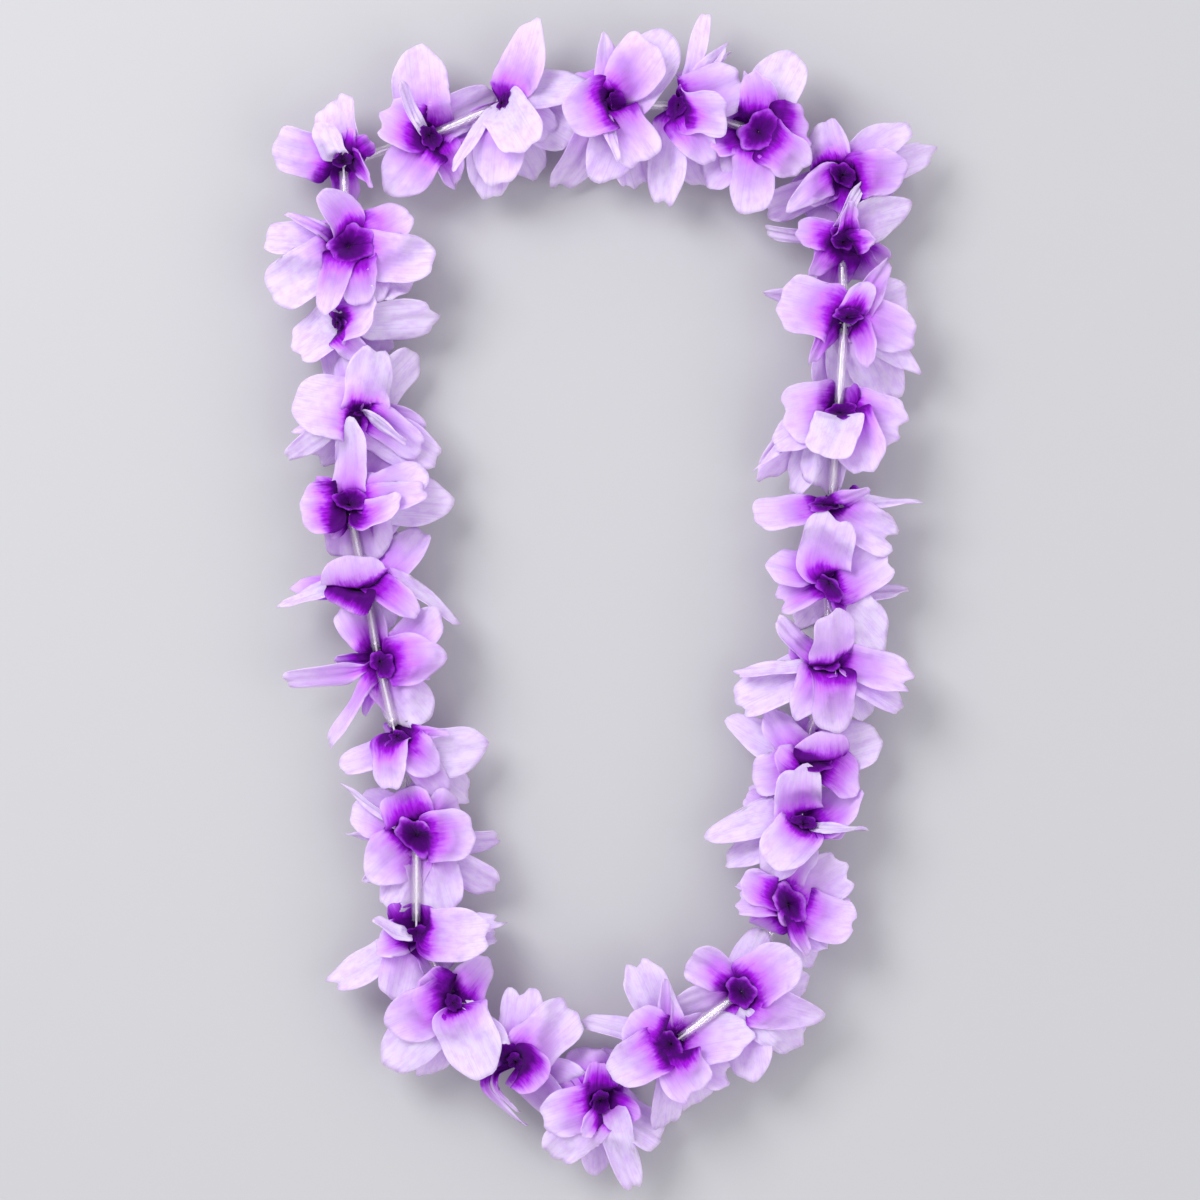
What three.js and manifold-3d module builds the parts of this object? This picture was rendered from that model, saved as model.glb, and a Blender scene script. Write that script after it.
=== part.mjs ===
// A flower lei: thirty soft fabric blooms on one knotted thread, kept apart by clear straw spacers.
// Millimetres, +Z up. The lei lies on the plane z = 0, its long axis along Y, the origin in its middle.

import * as THREE from "three";
import { mergeVertices } from "three/addons/utils/BufferGeometryUtils.js";
import Module from "manifold-3d";

const wasm = await Module();
wasm.setup();

// Driving dimensions
const petalThickness = 0.7;
const petalWidth = 16; // a full petal, flattened out
const foldedWidth = 10; // a petal creased along its length
const foldedBelow = 7; // a petal that shows less than this is creased
const cupDepth = 7.5; // from the thread to where the petals flare
const cupRadius = 7;
const layerStep = 1.8; // the back layer sits this much behind the front one
const rootDepth = 3.2; // from the thread to the middle of the cup
const rootStep = 1.3; // the back layer's cup is this much deeper

const collarRadius = 2.6;
const collarFront = 4.6; // from the thread
const collarBack = 2.3;
const holeRadius = 1.3; // for the thread
const holeReach = 3.8; // to each side of the collar's middle

const strawRadius = 1.85;
const strawBore = 1.15;
const strawNotch = 0.4; // a petal that meets a straw is notched clear of it by this much
const strawGap = 3.3; // from a bloom's middle to the straw's end
const threadRadius = 0.45;
const threadBend = 1.4; // the thread rounds each corner over this length

const restHeight = 18; // the thread above the table
const stackStep = 2.2; // a bloom that lies over its neighbour is this much higher
const topHeight = 43; // no petal is lifted past this by its neighbours
const petalClearance = 0.62; // from a petal's middle surface to the plane between two blooms
const petalStagger = 0.9; // layers pressed on one plane lie this far apart
const seamClearance = 0.45; // from a petal's middle surface to the plane between it and the next one
const seamLean = 0.8; // how far that plane leans, so that the front layer lies over the back one
const seamDepth = 3.4; // the planes between a bloom's petals meet here, in front of the thread
const strawClearance = 2.9; // from a straw's axis to a petal's middle surface

const bareSpan = 14; // no straw after this bloom: the thread's knot is there
const knotRadius = 1.3;
const knotCord = 0.5; // half the thickness of the thread in the knot

// Each bloom in turn round the loop, clockwise from the top left.
// at: where the thread carries it. mouth: where its cup opens, as azimuth and elevation in degrees.
// lean: how far the plane between it and the next bloom leans, in degrees. Below 0 this bloom lies over
// the next one, above 0 under it.
// petals: azimuth in degrees, then reach from the middle, rise of the tip, and width seen from above in
// millimetres, and the tip: r round, p pointed, s square, n notched, w waved, k round on a narrow neck.
const blooms = [
  { at: [-99.1, 168.6], mouth: [-90, 35], lean: -30, petals: [
    [165, 27, 4, 16, "s"], [102, 25, 0, 15, "s"], [98, 14, 13, 9, "r"], [72, 13, 9, 7, "w"],
    [38, 15, 6, 7, "w"], [-52, 18, -6, 10, "r"], [150, 19, -24, 15, "r"]] },
  { at: [-66.4, 179.4], mouth: [185, 45], lean: 35, petals: [
    [150, 20, 13, 20, "r"], [104, 34, 0, 15, "r"], [93, 35, 5, 16, "r"], [34, 31, -2, 15, "r"],
    [5, 23, -10, 12, "r"], [-128, 28, 8, 16, "r"], [-61, 22, 6, 14, "r"]] },
  { at: [-38.7, 191.3], mouth: [160, 50], lean: 35, petals: [
    [68, 35, 6, 13, "p"], [90, 24, 2, 9, "r"], [16, 34, 2, 19, "r"], [-61, 20, 17, 19, "w"],
    [-24, 32, -5, 16, "r"], [-88, 31, 6, 18, "r"], [-101, 36, -2, 17, "r"], [-64, 31, -10, 12, "r"]] },
  { at: [-2.9, 191.7], mouth: [0, 30], lean: -35, petals: [
    [80, 28, 4, 8.5, "p"], [50, 27, 9, 19, "r"], [52, 36, 0, 19, "r"], [-50, 28, 8, 18, "s"],
    [-82, 32, -2, 17, "r"], [216, 15, 17, 19, "r"], [-110, 36, -8, 15, "w"], [-58, 35, -8, 11, "r"]] },
  { at: [30.6, 191.0], mouth: [180, 35], lean: 20, petals: [
    [74, 37, 4, 7, "r"], [53, 32, 0, 8, "p"], [25, 26, 4, 20, "w"], [-12, 19, 16, 16, "r"],
    [-38, 22, 8, 14, "r"], [-55, 33, -4, 15, "r"], [-101, 39, 4, 14, "r"], [40, 24, -24, 14, "r"]] },
  { at: [60.2, 180.5], mouth: [-60, 75], lean: -35, petals: [
    [66, 34, 5, 17, "r"], [103, 21, 6, 12, "p"], [12, 19, 6, 20, "r"], [-42, 22, 8, 15, "r"],
    [-100, 32, 5, 16, "r"], [197, 17, 6, 14, "s"], [150, 18, -12, 14, "r"]] },
  { at: [93.0, 163.6], mouth: [-120, 40], lean: -25, petals: [
    [112, 22, 6, 16, "r"], [40, 34, 2, 13, "r"], [17, 37, 2, 13, "r"], [0, 21, 12, 17, "r"],
    [-144, 28, 10, 8, "p"], [-156, 33, 2, 10, "s"], [-30, 24, -6, 12, "r"], [30, 24, -24, 15, "r"]] },
  { at: [93.0, 137.1], mouth: [-90, 50], lean: 35, petals: [
    [31, 31, 5, 16, "p"], [68, 17, 14, 7, "w"], [163, 18, 6, 8, "r"], [-135, 17, 8, 12, "r"],
    [-50, 18, -8, 14, "r"]] },
  { at: [94.1, 108.2], mouth: [40, 45], lean: 25, petals: [
    [160, 33, 8, 18, "n"], [53, 27, 6, 8, "p"], [24, 28, 0, 14, "r"], [-6, 28, 6, 16, "r"],
    [-35, 35, -2, 12, "p"], [-45, 22, 14, 7, "r"], [-128, 22, 4, 9, "r"], [-100, 31, -10, 11, "r"],
    [-56, 35, -8, 17, "r"]] },
  { at: [91.4, 71.6], mouth: [95, 38], lean: -30, petals: [
    [172, 21, 10, 19, "s"], [-116, 18, 17, 17, "s"], [-55, 23, 12, 19, "r"], [-10, 25, 4, 19, "w"],
    [205, 28, 4, 11, "r"], [223, 33, -6, 10, "r"], [-72, 25, -6, 10, "r"]] },
  { at: [89.1, 37.7], mouth: [95, 25], lean: -30, petals: [
    [190, 31, 8, 10, "n"], [-31, 30, 0, 15, "n"], [206, 23, -8, 7, "p"], [-62, 14, 15, 12, "r"],
    [-35, 22, -24, 14, "r"]] },
  { at: [87.6, 9.2], mouth: [-110, 60], lean: 35, petals: [
    [80, 22, 10, 18, "r"], [170, 23, 4, 14, "r"], [10, 21, 10, 19, "w"], [-8, 31, 0, 10, "p"],
    [212, 23, 4, 12, "n"], [-47, 36, 4, 13, "r"], [-95, 16, 8, 7, "r"]] },
  { at: [88.4, -24.6], mouth: [-85, 58], lean: -30, petals: [
    [93, 23, 13, 17, "p"], [141, 29, 6, 8.5, "r"], [201, 39, -2, 16, "r"], [232, 25, 14, 14, "r"],
    [-92, 27, 10, 18, "r"], [-15, 30, 6, 16, "n"], [-45, 26, -4, 11, "r"]] },
  { at: [78.0, -60.1], mouth: [110, 48], lean: -30, petals: [
    [154, 34, 2, 13, "p"], [128, 25, 8, 13, "r"], [196, 21, 10, 17, "s"], [12, 30, 4, 18, "r"],
    [26, 17, 17, 11, "r"], [146, 15, 16, 9, "r"], [-45, 28, -4, 14, "r"], [5, 21, -24, 15, "r"]] },
  { at: [77.6, -86.2], mouth: [-60, 60], lean: -35, petals: [
    [98, 22, 14, 19, "s"], [158, 23, 4, 16, "r"], [190, 40, 2, 14, "p"], [222, 23, 14, 17, "r"],
    [230, 31, 2, 15, "r"], [170, 20, -16, 14, "r"]] },
  { at: [71.8, -117.0], mouth: [150, 65], lean: 35, petals: [
    [78, 26, -2, 11, "r"], [38, 31, 4, 18, "w"], [-14, 28, 4, 18, "w"], [155, 20, 10, 14, "r"],
    [195, 21, 8, 13, "w"], [-108, 17, -8, 16, "r"], [-55, 27, -8, 9, "r"]] },
  { at: [54.1, -150.5], mouth: [180, 60], lean: 20, petals: [
    [45, 26, 12, 21, "r"], [150, 25, 6, 20, "s"], [-22, 33, 2, 18, "r"], [8, 27, -4, 15, "r"],
    [-50, 31, -2, 18, "r"], [-82, 34, 0, 10, "p"], [198, 26, -6, 11, "r"], [-35, 22, -24, 15, "r"]] },
  { at: [27.9, -170.2], mouth: [60, 70], lean: -35, petals: [
    [112, 32, 4, 16, "w"], [148, 20, 12, 14, "r"], [14, 30, -4, 21, "r"], [-42, 24, 10, 20, "w"],
    [-54, 31, -2, 16, "s"], [-96, 33, -4, 11, "n"], [203, 24, 12, 18, "r"], [168, 36, -6, 8, "r"]] },
  { at: [-0.2, -191.3], mouth: [0, 60], lean: 25, petals: [
    [197, 23, 8, 17, "r"], [224, 30, 2, 16, "r"], [-71, 37, 2, 14, "p"], [-38, 29, 0, 14, "r"],
    [-92, 32, -4, 15, "r"], [-12, 15, 14, 13, "r"], [95, 16, 10, 15, "r"], [160, 28, -6, 14, "r"],
    [-75, 22, -24, 15, "r"]] },
  { at: [-32.5, -177.1], mouth: [-120, 50], lean: 35, petals: [
    [85, 29, 4, 14, "n"], [42, 31, 2, 18, "w"], [-18, 19, 12, 16, "r"], [-38, 25, -6, 15, "r"],
    [-104, 27, 0, 7, "r"], [172, 14, 6, 9, "r"]] },
  { at: [-56.4, -154.0], mouth: [40, 35], lean: -30, petals: [
    [143, 17, 10, 12, "r"], [207, 26, 8, 19, "r"], [216, 38, -2, 15, "r"], [-66, 29, 10, 22, "r"],
    [233, 31, -6, 9, "r"], [60, 15, 4, 10, "r"], [210, 22, -24, 15, "r"]] },
  { at: [-71.0, -126.7], mouth: [-80, 58], lean: -20, petals: [
    [2, 28, 10, 19, "r"], [8, 32, -4, 7, "w"], [192, 17, 8, 11, "r"], [213, 40, 0, 12, "r"],
    [-100, 28, 2, 19, "r"], [-38, 33, -6, 13, "r"]] },
  { at: [-71.0, -89.7], mouth: [90, 65], lean: 30, petals: [
    [96, 19, 13, 19, "r"], [6, 24, 10, 18, "r"], [-4, 30, -4, 9, "w"], [-32, 35, 0, 13, "s"],
    [-58, 29, 8, 17, "r"], [-105, 33, 4, 15, "r"], [226, 28, 4, 18, "p"], [162, 26, 4, 17, "r"]] },
  { at: [-79.1, -51.6], mouth: [60, 30], lean: 30, petals: [
    [-88, 20, 14, 13, "r"], [205, 24, 6, 10, "k"], [-25, 20, 8, 15, "r"], [-8, 35, 0, 19, "r"],
    [-42, 35, -6, 10, "s"], [-62, 25, -4, 13, "r"], [-10, 24, -24, 15, "r"]] },
  { at: [-85.7, -22.3], mouth: [-150, 60], lean: 30, petals: [
    [128, 29, -2, 17, "s"], [38, 32, 0, 15, "r"], [6, 26, 8, 18, "p"], [189, 37, 4, 8, "k"],
    [172, 16, -2, 7, "s"], [237, 38, 0, 6.5, "r"], [251, 20, -4, 7, "p"], [-42, 27, -4, 14, "w"],
    [-47, 38, 4, 8, "p"]] },
  { at: [-91.1, 8.1], mouth: [95, 30], lean: 30, petals: [
    [155, 17, 12, 9, "r"], [182, 29, -2, 6, "p"], [-130, 16, 14, 13, "r"], [-32, 23, 10, 14, "r"],
    [-22, 40, 2, 6, "p"], [40, 28, -2, 13, "r"], [70, 21, -6, 10, "r"], [112, 20, -6, 10, "r"]] },
  { at: [-96.8, 35.4], mouth: [-110, 60], lean: -30, petals: [
    [182, 18, 8, 20, "r"], [90, 34, 6, 11, "r"], [137, 18, -4, 7, "p"], [8, 21, 13, 8, "s"],
    [22, 32, 2, 12, "r"], [2, 40, -3, 20, "r"], [62, 21, -6, 9, "r"], [5, 24, -24, 15, "r"]] },
  { at: [-92.2, 72.8], mouth: [-90, -10], lean: -20, petals: [
    [156, 27, 6, 22, "w"], [80, 24, 6, 19, "r"], [45, 29, -4, 11, "r"], [-30, 32, 4, 14, "r"],
    [-40, 31, -4, 12, "p"], [-95, 19, 4, 11, "r"], [200, 26, -6, 10, "r"]] },
  { at: [-100.3, 107.0], mouth: [-150, 50], lean: 30, petals: [
    [52, 16, 15, 16, "s"], [2, 37, 4, 13, "k"], [218, 22, 4, 16, "w"], [-70, 28, 2, 13, "r"],
    [-95, 23, -6, 13, "r"], [-23, 32, -6, 14, "r"], [-150, 16, -14, 14, "r"]] },
  { at: [-97.6, 135.9], mouth: [80, 80], lean: -30, petals: [
    [171, 31, 6, 13, "r"], [206, 33, 5, 18, "r"], [-12, 35, 5, 19, "r"], [-34, 30, -2, 13, "r"],
    [28, 27, 2, 15, "r"], [120, 25, 14, 12, "p"], [-106, 29, 4, 12, "p"], [-80, 24, 6, 15, "r"],
    [-170, 21, -24, 15, "r"]] },
];

// Each kind's outline past the cup, row by row: [share of length, [share of half the full width, ...]].
// The last row is the tip, where each point has its own share of length.
const outlines = {
  r: { rows: [[0.58, [-0.96, 0, 0.96]], [0.87, [-0.8, 0.8]]], tip: [[0, 1]] },
  p: { rows: [[0.52, [-0.95, 0, 0.95]], [0.8, [-0.6, 0.6]]], tip: [[0, 1]] },
  k: { rows: [[0.58, [-0.42, 0, 0.42]], [0.84, [-1, 1]]], tip: [[0, 1]] },
  s: { rows: [[0.56, [-0.96, 0, 0.96]]], tip: [[-0.8, 0.95], [0, 1], [0.8, 0.93]] },
  n: { rows: [[0.56, [-0.95, 0, 0.95]]], tip: [[-0.75, 1], [0, 0.84], [0.7, 0.96]] },
  w: { rows: [[0.58, [-0.98, 0, 0.98]]], tip: [[-0.8, 0.88], [0.1, 0.98], [0.75, 0.97]] },
};
const cupShare = 0.27; // the cup takes this share of a petal's length
const nearPetals = [-1, -2, 2, 1]; // a petal keeps clear of these, counted round its bloom

const rad = THREE.MathUtils.degToRad;
const up = new THREE.Vector3(0, 0, 1);
const vec = (x, y, z) => new THREE.Vector3(x, y, z);
const unit = (v) => v.clone().normalize();
const across = (v, axis) => v.clone().addScaledVector(axis, -v.dot(axis)); // v without its part along axis
const wrap = (i) => (i + blooms.length) % blooms.length;
const smooth = (t) => THREE.MathUtils.smoothstep(t, 0, 1);

function heading(azimuth, elevation) {
  const level = Math.cos(rad(elevation));
  return vec(level * Math.cos(rad(azimuth)), level * Math.sin(rad(azimuth)), Math.sin(rad(elevation)));
}

// A bloom is lifted for each neighbour that it lies over and lowered for each that lies over it.
function hubOf(i) {
  const over = Math.sign(blooms[wrap(i - 1)].lean) - Math.sign(blooms[i].lean);
  return vec(...blooms[i].at, restHeight + (stackStep * over) / 2);
}
const hubs = blooms.map((_, i) => hubOf(i));
const lineFrom = (a, b) => unit(hubs[b].clone().sub(hubs[a]));

// The plane between two blooms, leaning towards the one that lies under. Its normal points from a to b.
function wallBetween(a, b, lean) {
  const along = lineFrom(a, b);
  const rise = unit(across(up, along));
  const normal = along.multiplyScalar(Math.cos(rad(lean))).addScaledVector(rise, Math.sin(rad(lean)));
  return { normal, at: hubs[a].clone().lerp(hubs[b], 0.5) };
}

// The planes that keep bloom i to its own room, each with its normal pointing out of that room.
function wallsOf(i) {
  const flip = (wall) => ({ normal: wall.normal.clone().negate(), at: wall.at });
  const beyond = (a, b, middle) => ({ ...wallBetween(a, b, 0), at: hubs[middle] });
  const [before, after] = [wrap(i - 1), wrap(i + 1)];
  return [
    wallBetween(i, after, blooms[i].lean),
    flip(wallBetween(before, i, blooms[before].lean)),
    beyond(i, wrap(i + 2), after),
    flip(beyond(wrap(i - 2), i, before)),
  ];
}

// Moves a point of a petal into its own room: off the straws, clear of its neighbours, on the table.
function settle(point, room, gap) {
  const p = point.clone();
  const rounds = 10;
  for (let round = 0; round < rounds; round++) {
    const fromHub = p.clone().sub(room.hub);
    const along = fromHub.dot(room.thread);
    if (Math.abs(along) > strawGap - 1) {
      for (const side of along > 0 ? room.asides.after : room.asides.before) {
        const short = strawClearance + gap - petalClearance - p.clone().sub(room.hub).dot(side);
        if (short > 0) p.addScaledVector(side, short);
      }
    }
    for (const wall of [...room.seams, ...room.walls]) {
      const past = p.clone().sub(wall.at).dot(wall.normal) + (wall.gap ?? gap);
      if (past <= 0) continue;
      const slide = !wall.gap && Math.abs(wall.normal.z) > 0.3 && round < rounds / 2;
      if (slide) p.z = Math.min(p.z - past / wall.normal.z, topHeight);
      else p.addScaledVector(wall.normal, -past);
    }
    p.z = Math.max(p.z, petalThickness / 2);
  }
  return p;
}

// The plane between petals a and b of one bloom, along the line midway between them. It leans so that
// the front layer's petal lies over the back layer's. Its normal points from a to b.
function seamBetween(a, b, room) {
  const middle = unit(unit(a.lean).add(unit(b.lean)));
  const apart = unit(b.lean).sub(unit(a.lean)).addScaledVector(room.mouth, (a.layer - b.layer) * seamLean);
  const at = room.hub.clone().addScaledVector(room.mouth, seamDepth);
  return { normal: unit(across(apart, middle)), at, gap: seamClearance, layers: [a.layer, b.layer] };
}

// The directions in which a petal keeps off the straw on each side of its bloom.
function asidesOf(room, petals) {
  const off = (line) => petals.map(({ lean }) => {
    const away = across(unit(lean).addScaledVector(room.mouth, 0.8), line);
    return unit(away.length() > 0.1 ? away : across(up, line));
  });
  return { before: off(room.lineBefore), after: off(room.lineAfter) };
}

// Turns the roots of one layer apart round the cup until each has its share of room.
function spread(angles) {
  const placed = [...angles];
  const share = (2 * Math.PI * 0.72) / angles.length;
  for (let round = 0; round < 80; round++) {
    placed.forEach((_, a) => {
      const b = (a + 1) % placed.length;
      const turn = b === 0 ? 2 * Math.PI : 0;
      const lack = share - (placed[b] + turn - placed[a]);
      if (lack <= 0) return;
      placed[a] -= lack / 2;
      placed[b] += lack / 2;
    });
  }
  return placed;
}

// One petal past its cup: a curved midrib from the collar to the tip, and the width across it.
function petalSurface(room, petal, back, gap) {
  const { hub, mouth } = room;
  const root = petal.layer * rootStep;
  const out = room.outAt(petal.angle);
  const free = { ...room, seams: petal.seams };
  const aim = hub.clone().add(petal.lean);
  const tip = settle(aim, free, gap);
  if (aim.z < 0) tip.z = aim.z; // a foot: settling its points then lays it along the table
  const flare = hub.clone().addScaledVector(mouth, cupDepth - back).addScaledVector(out, cupRadius + back);
  const curve = new THREE.CubicBezierCurve3(
    room.ringAt(petal.angle, 1, rootDepth - root),
    room.ringAt(petal.angle, cupRadius * 0.55 + back * 0.5, cupDepth * 0.74 - back),
    flare.lerp(tip, 0.25),
    tip,
  );
  const width = petal.seen < foldedBelow ? foldedWidth : Math.max(petalWidth, petal.seen);
  const round = unit(mouth.clone().cross(out));
  const last = curve.getTangent(0.9);
  const level = unit(Math.abs(last.z) < 0.98 ? up.clone().cross(last) : round);
  if (level.dot(round) < 0) level.negate();
  const upright = unit(last.clone().cross(level));
  if (upright.dot(round) < 0) upright.negate();
  const roll = Math.acos(Math.min(1, petal.seen / width));
  const turned = level.multiplyScalar(Math.cos(roll)).addScaledVector(upright, Math.sin(roll));
  return (u, v) => {
    const tangent = curve.getTangent(u);
    const side = unit(across(round.clone().lerp(turned, smooth((u - 0.12) / 0.4)), tangent));
    const inward = tangent.clone().cross(side);
    const half = (v * width) / 2;
    const hollow = (0.07 * (1 - u) ** 2 + 0.008) * half * half;
    const point = curve.getPoint(u).addScaledVector(side, half).addScaledVector(inward, hollow);
    return settle(point, free, gap);
  };
}

// One layer: petals that share a cup, stamped from one piece of fabric.
function layerSolid(room, petals, back, gap) {
  const count = petals.length;
  const turnTo = (k) => petals[(k + 1) % count].angle + (k + 1 === count ? 2 * Math.PI : 0);
  const notchAngles = petals.map(({ angle }, k) => (angle + turnTo(k)) / 2);
  const surfaces = petals.map((petal) => {
    const own = { ...room, asides: asidesOf(room, [petal]) };
    return petalSurface(own, petal, back, gap);
  });
  const points = [room.ringAt(0, 0, rootDepth - petals[0].layer * rootStep)];
  petals.forEach((petal, k) => {
    const both = asidesOf(room, [petal, petals[(k + 1) % count]]);
    const notch = room.ringAt(notchAngles[k], cupRadius * 0.66 + back * 0.5, cupDepth * 0.74 - back);
    const seams = [...petal.seams.slice(-1), ...petals[(k + 1) % count].seams.slice(0, 1)]
      .filter(({ layers }) => layers[0] !== layers[1]);
    points.push(surfaces[k](cupShare, 0), settle(notch, { ...room, asides: both, seams }, gap));
  });
  const ring = 2 * count;
  const triangles = Array.from({ length: ring }, (_, j) => [0, 1 + j, 1 + ((j + 1) % ring)]);
  petals.forEach((petal, k) => {
    const outline = outlines[petal.kind];
    let row = [1 + ((2 * k + ring - 1) % ring), 1 + 2 * k, 2 + 2 * k];
    const rows = outline.rows.map(([u, shares]) => shares.map((v) => [v, u]));
    for (const places of [...rows, outline.tip]) {
      const next = places.map(([v, u]) => points.push(surfaces[k](u, v)) - 1);
      triangles.push(...strip(row, next));
      row = next;
    }
  });
  return sheetSolid(points, triangles);
}

// Triangles between two rows of points, which may have different numbers of points.
function strip(a, b) {
  const triangles = [];
  let [i, j] = [0, 0];
  while (i + 1 < a.length || j + 1 < b.length) {
    const stepA = j + 1 >= b.length || (i + 1 < a.length && (i + 1) / a.length < (j + 1) / b.length);
    triangles.push(stepA ? [a[i], b[j], a[i + 1]] : [a[i], b[j], b[j + 1]]);
    if (stepA) i += 1;
    else j += 1;
  }
  return triangles;
}

// Thickens a surface into fabric: the same triangles on both faces, and a rim round every edge.
function sheetSolid(points, triangles) {
  const count = points.length;
  const normals = points.map(() => vec(0, 0, 0));
  for (const [a, b, c] of triangles) {
    const normal = points[b].clone().sub(points[a]).cross(points[c].clone().sub(points[a]));
    for (const k of [a, b, c]) normals[k].add(normal);
  }
  const positions = [];
  for (const side of [1, -1]) {
    points.forEach((p, k) => {
      const normal = unit(normals[k]);
      if (p.z < petalThickness / 2 + 0.02) normal.set(0, 0, Math.sign(normal.z) || 1);
      positions.push(...p.clone().addScaledVector(normal, (side * petalThickness) / 2).toArray());
    });
  }
  const faces = [...triangles, ...triangles.map(([a, b, c]) => [a + count, c + count, b + count])];
  const edges = new Set(triangles.flatMap(([a, b, c]) => [`${a},${b}`, `${b},${c}`, `${c},${a}`]));
  for (const edge of edges) {
    const [a, b] = edge.split(",").map(Number);
    if (!edges.has(`${b},${a}`)) faces.push([b, a, a + count], [b, a + count, b + count]);
  }
  return solidOf(positions, faces.flat());
}

function solidOf(positions, indices) {
  const mesh = new wasm.Mesh({
    numProp: 3, vertProperties: new Float32Array(positions), triVerts: new Uint32Array(indices),
  });
  return new wasm.Manifold(mesh);
}

function solidOfGeometry(geometry, grain = 1e-4) {
  const bare = geometry.clone();
  for (const name of Object.keys(bare.attributes)) if (name !== "position") bare.deleteAttribute(name);
  const merged = mergeVertices(bare, grain);
  return solidOf(merged.attributes.position.array, merged.index.array);
}

function geometryOf(solid, offset) {
  const { vertProperties, triVerts } = solid.getMesh();
  const geometry = new THREE.BufferGeometry();
  geometry.setAttribute("position", new THREE.BufferAttribute(new Float32Array(vertProperties), 3));
  geometry.setIndex(new THREE.BufferAttribute(new Uint32Array(triVerts), 1));
  geometry.translate(-offset.x, -offset.y, -offset.z);
  geometry.computeVertexNormals();
  return geometry;
}

// A solid's outer surface alone: no sealed hollow, no loose scrap.
function wholeOf(solid) {
  const pieces = solidOfGeometry(geometryOf(solid, vec(0, 0, 0)), 1e-3).decompose();
  return pieces.reduce((a, b) => (b.volume() > a.volume() ? b : a));
}

// A cylinder centred on a point, its axis along a direction.
function rod(radius, length, sides, centre, direction) {
  const geometry = new THREE.CylinderGeometry(radius, radius, length, sides);
  geometry.applyQuaternion(new THREE.Quaternion().setFromUnitVectors(vec(0, 1, 0), unit(direction)));
  geometry.translate(centre.x, centre.y, centre.z);
  return solidOfGeometry(geometry);
}

// The room of bloom i, and how its cup is turned.
function roomOf(i) {
  const mouth = heading(...blooms[i].mouth);
  const start = unit(across(Math.abs(mouth.z) > 0.95 ? vec(1, 0, 0) : up, mouth));
  const quarter = mouth.clone().cross(start);
  const [lineBefore, lineAfter] = [lineFrom(wrap(i - 1), i), lineFrom(i, wrap(i + 1))];
  const hub = hubs[i];
  const outAt = (angle) => start.clone().multiplyScalar(Math.cos(angle))
    .addScaledVector(quarter, Math.sin(angle));
  const ringAt = (angle, radius, depth) => hub.clone().addScaledVector(mouth, depth)
    .addScaledVector(outAt(angle), radius);
  const angleOf = (lean) => Math.atan2(lean.dot(quarter), lean.dot(start));
  const thread = unit(lineBefore.clone().add(lineAfter));
  return { hub, mouth, lineBefore, lineAfter, thread, outAt, ringAt, angleOf, walls: wallsOf(i), seams: [] };
}

// A bloom's two layers, front first. Petals go to them by turns round the bloom; `odd` says whose turn
// it is first.
function layersOf(room, petals, odd) {
  const dealt = petals.map((petal, k) => ({ ...petal, layer: (k + odd) % 2 }));
  for (const [k, petal] of dealt.entries()) {
    const near = nearPetals.map((step) => dealt[(k + step + dealt.length) % dealt.length]);
    const beside = near.filter((other) => unit(other.lean).dot(unit(petal.lean)) > -0.3);
    petal.seams = beside.map((other) => seamBetween(petal, other, room));
  }
  return [0, 1].map((layer) => {
    const own = dealt.filter((petal) => petal.layer === layer);
    const angles = spread(own.map(({ angle }) => angle));
    const turned = own.map((petal, k) => ({ ...petal, angle: angles[k] }));
    return layerSolid(room, turned, layer * layerStep, petalClearance + layer * petalStagger);
  });
}

// One bloom: two layers of petals, turned so that each petal of one stands between two of the other,
// joined at the collar that the thread runs through.
function bloomSolid(i) {
  const room = roomOf(i);
  const petals = blooms[i].petals.map(([azimuth, reach, rise, seen, kind]) => {
    const lean = heading(azimuth, 0).multiplyScalar(reach).addScaledVector(up, rise);
    return { lean, seen, kind, angle: room.angleOf(lean) };
  }).sort((a, b) => a.angle - b.angle);
  const crossing = ([front, back]) => front.intersect(back).numTri();
  const [even, odd] = [layersOf(room, petals, 0), layersOf(room, petals, 1)];
  const [front, back] = crossing(even) < crossing(odd) ? even : odd;
  const collarMiddle = room.hub.clone().addScaledVector(room.mouth, (collarFront - collarBack) / 2);
  let solid = rod(collarRadius, collarFront + collarBack, 5, collarMiddle, room.mouth).add(front).add(back);
  const [before, after] = [room.lineBefore.clone().negate(), room.lineAfter]
    .map((line) => room.hub.clone().addScaledVector(line, holeReach));
  solid = solid.subtract(sweep([before, room.hub, after], holeRadius, 5, false));
  for (const k of [wrap(i - 1), i]) {
    solid = solid.subtract(strawRod(k, strawRadius + strawNotch, strawNotch, 6));
  }
  return wholeOf(solid);
}

// A straight rod along the straw between bloom i and the next, longer than it by `more` at each end.
function strawRod(i, radius, more, sides) {
  const [from, to] = [hubs[i], hubs[wrap(i + 1)]];
  const length = from.distanceTo(to) - 2 * strawGap + 2 * more;
  return rod(radius, length, sides, from.clone().lerp(to, 0.5), lineFrom(i, wrap(i + 1)));
}

// A clear straw on the thread between bloom i and the next.
function strawSolid(i) {
  return strawRod(i, strawRadius, 0, 6).subtract(strawRod(i, strawBore, 1, 6));
}

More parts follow.
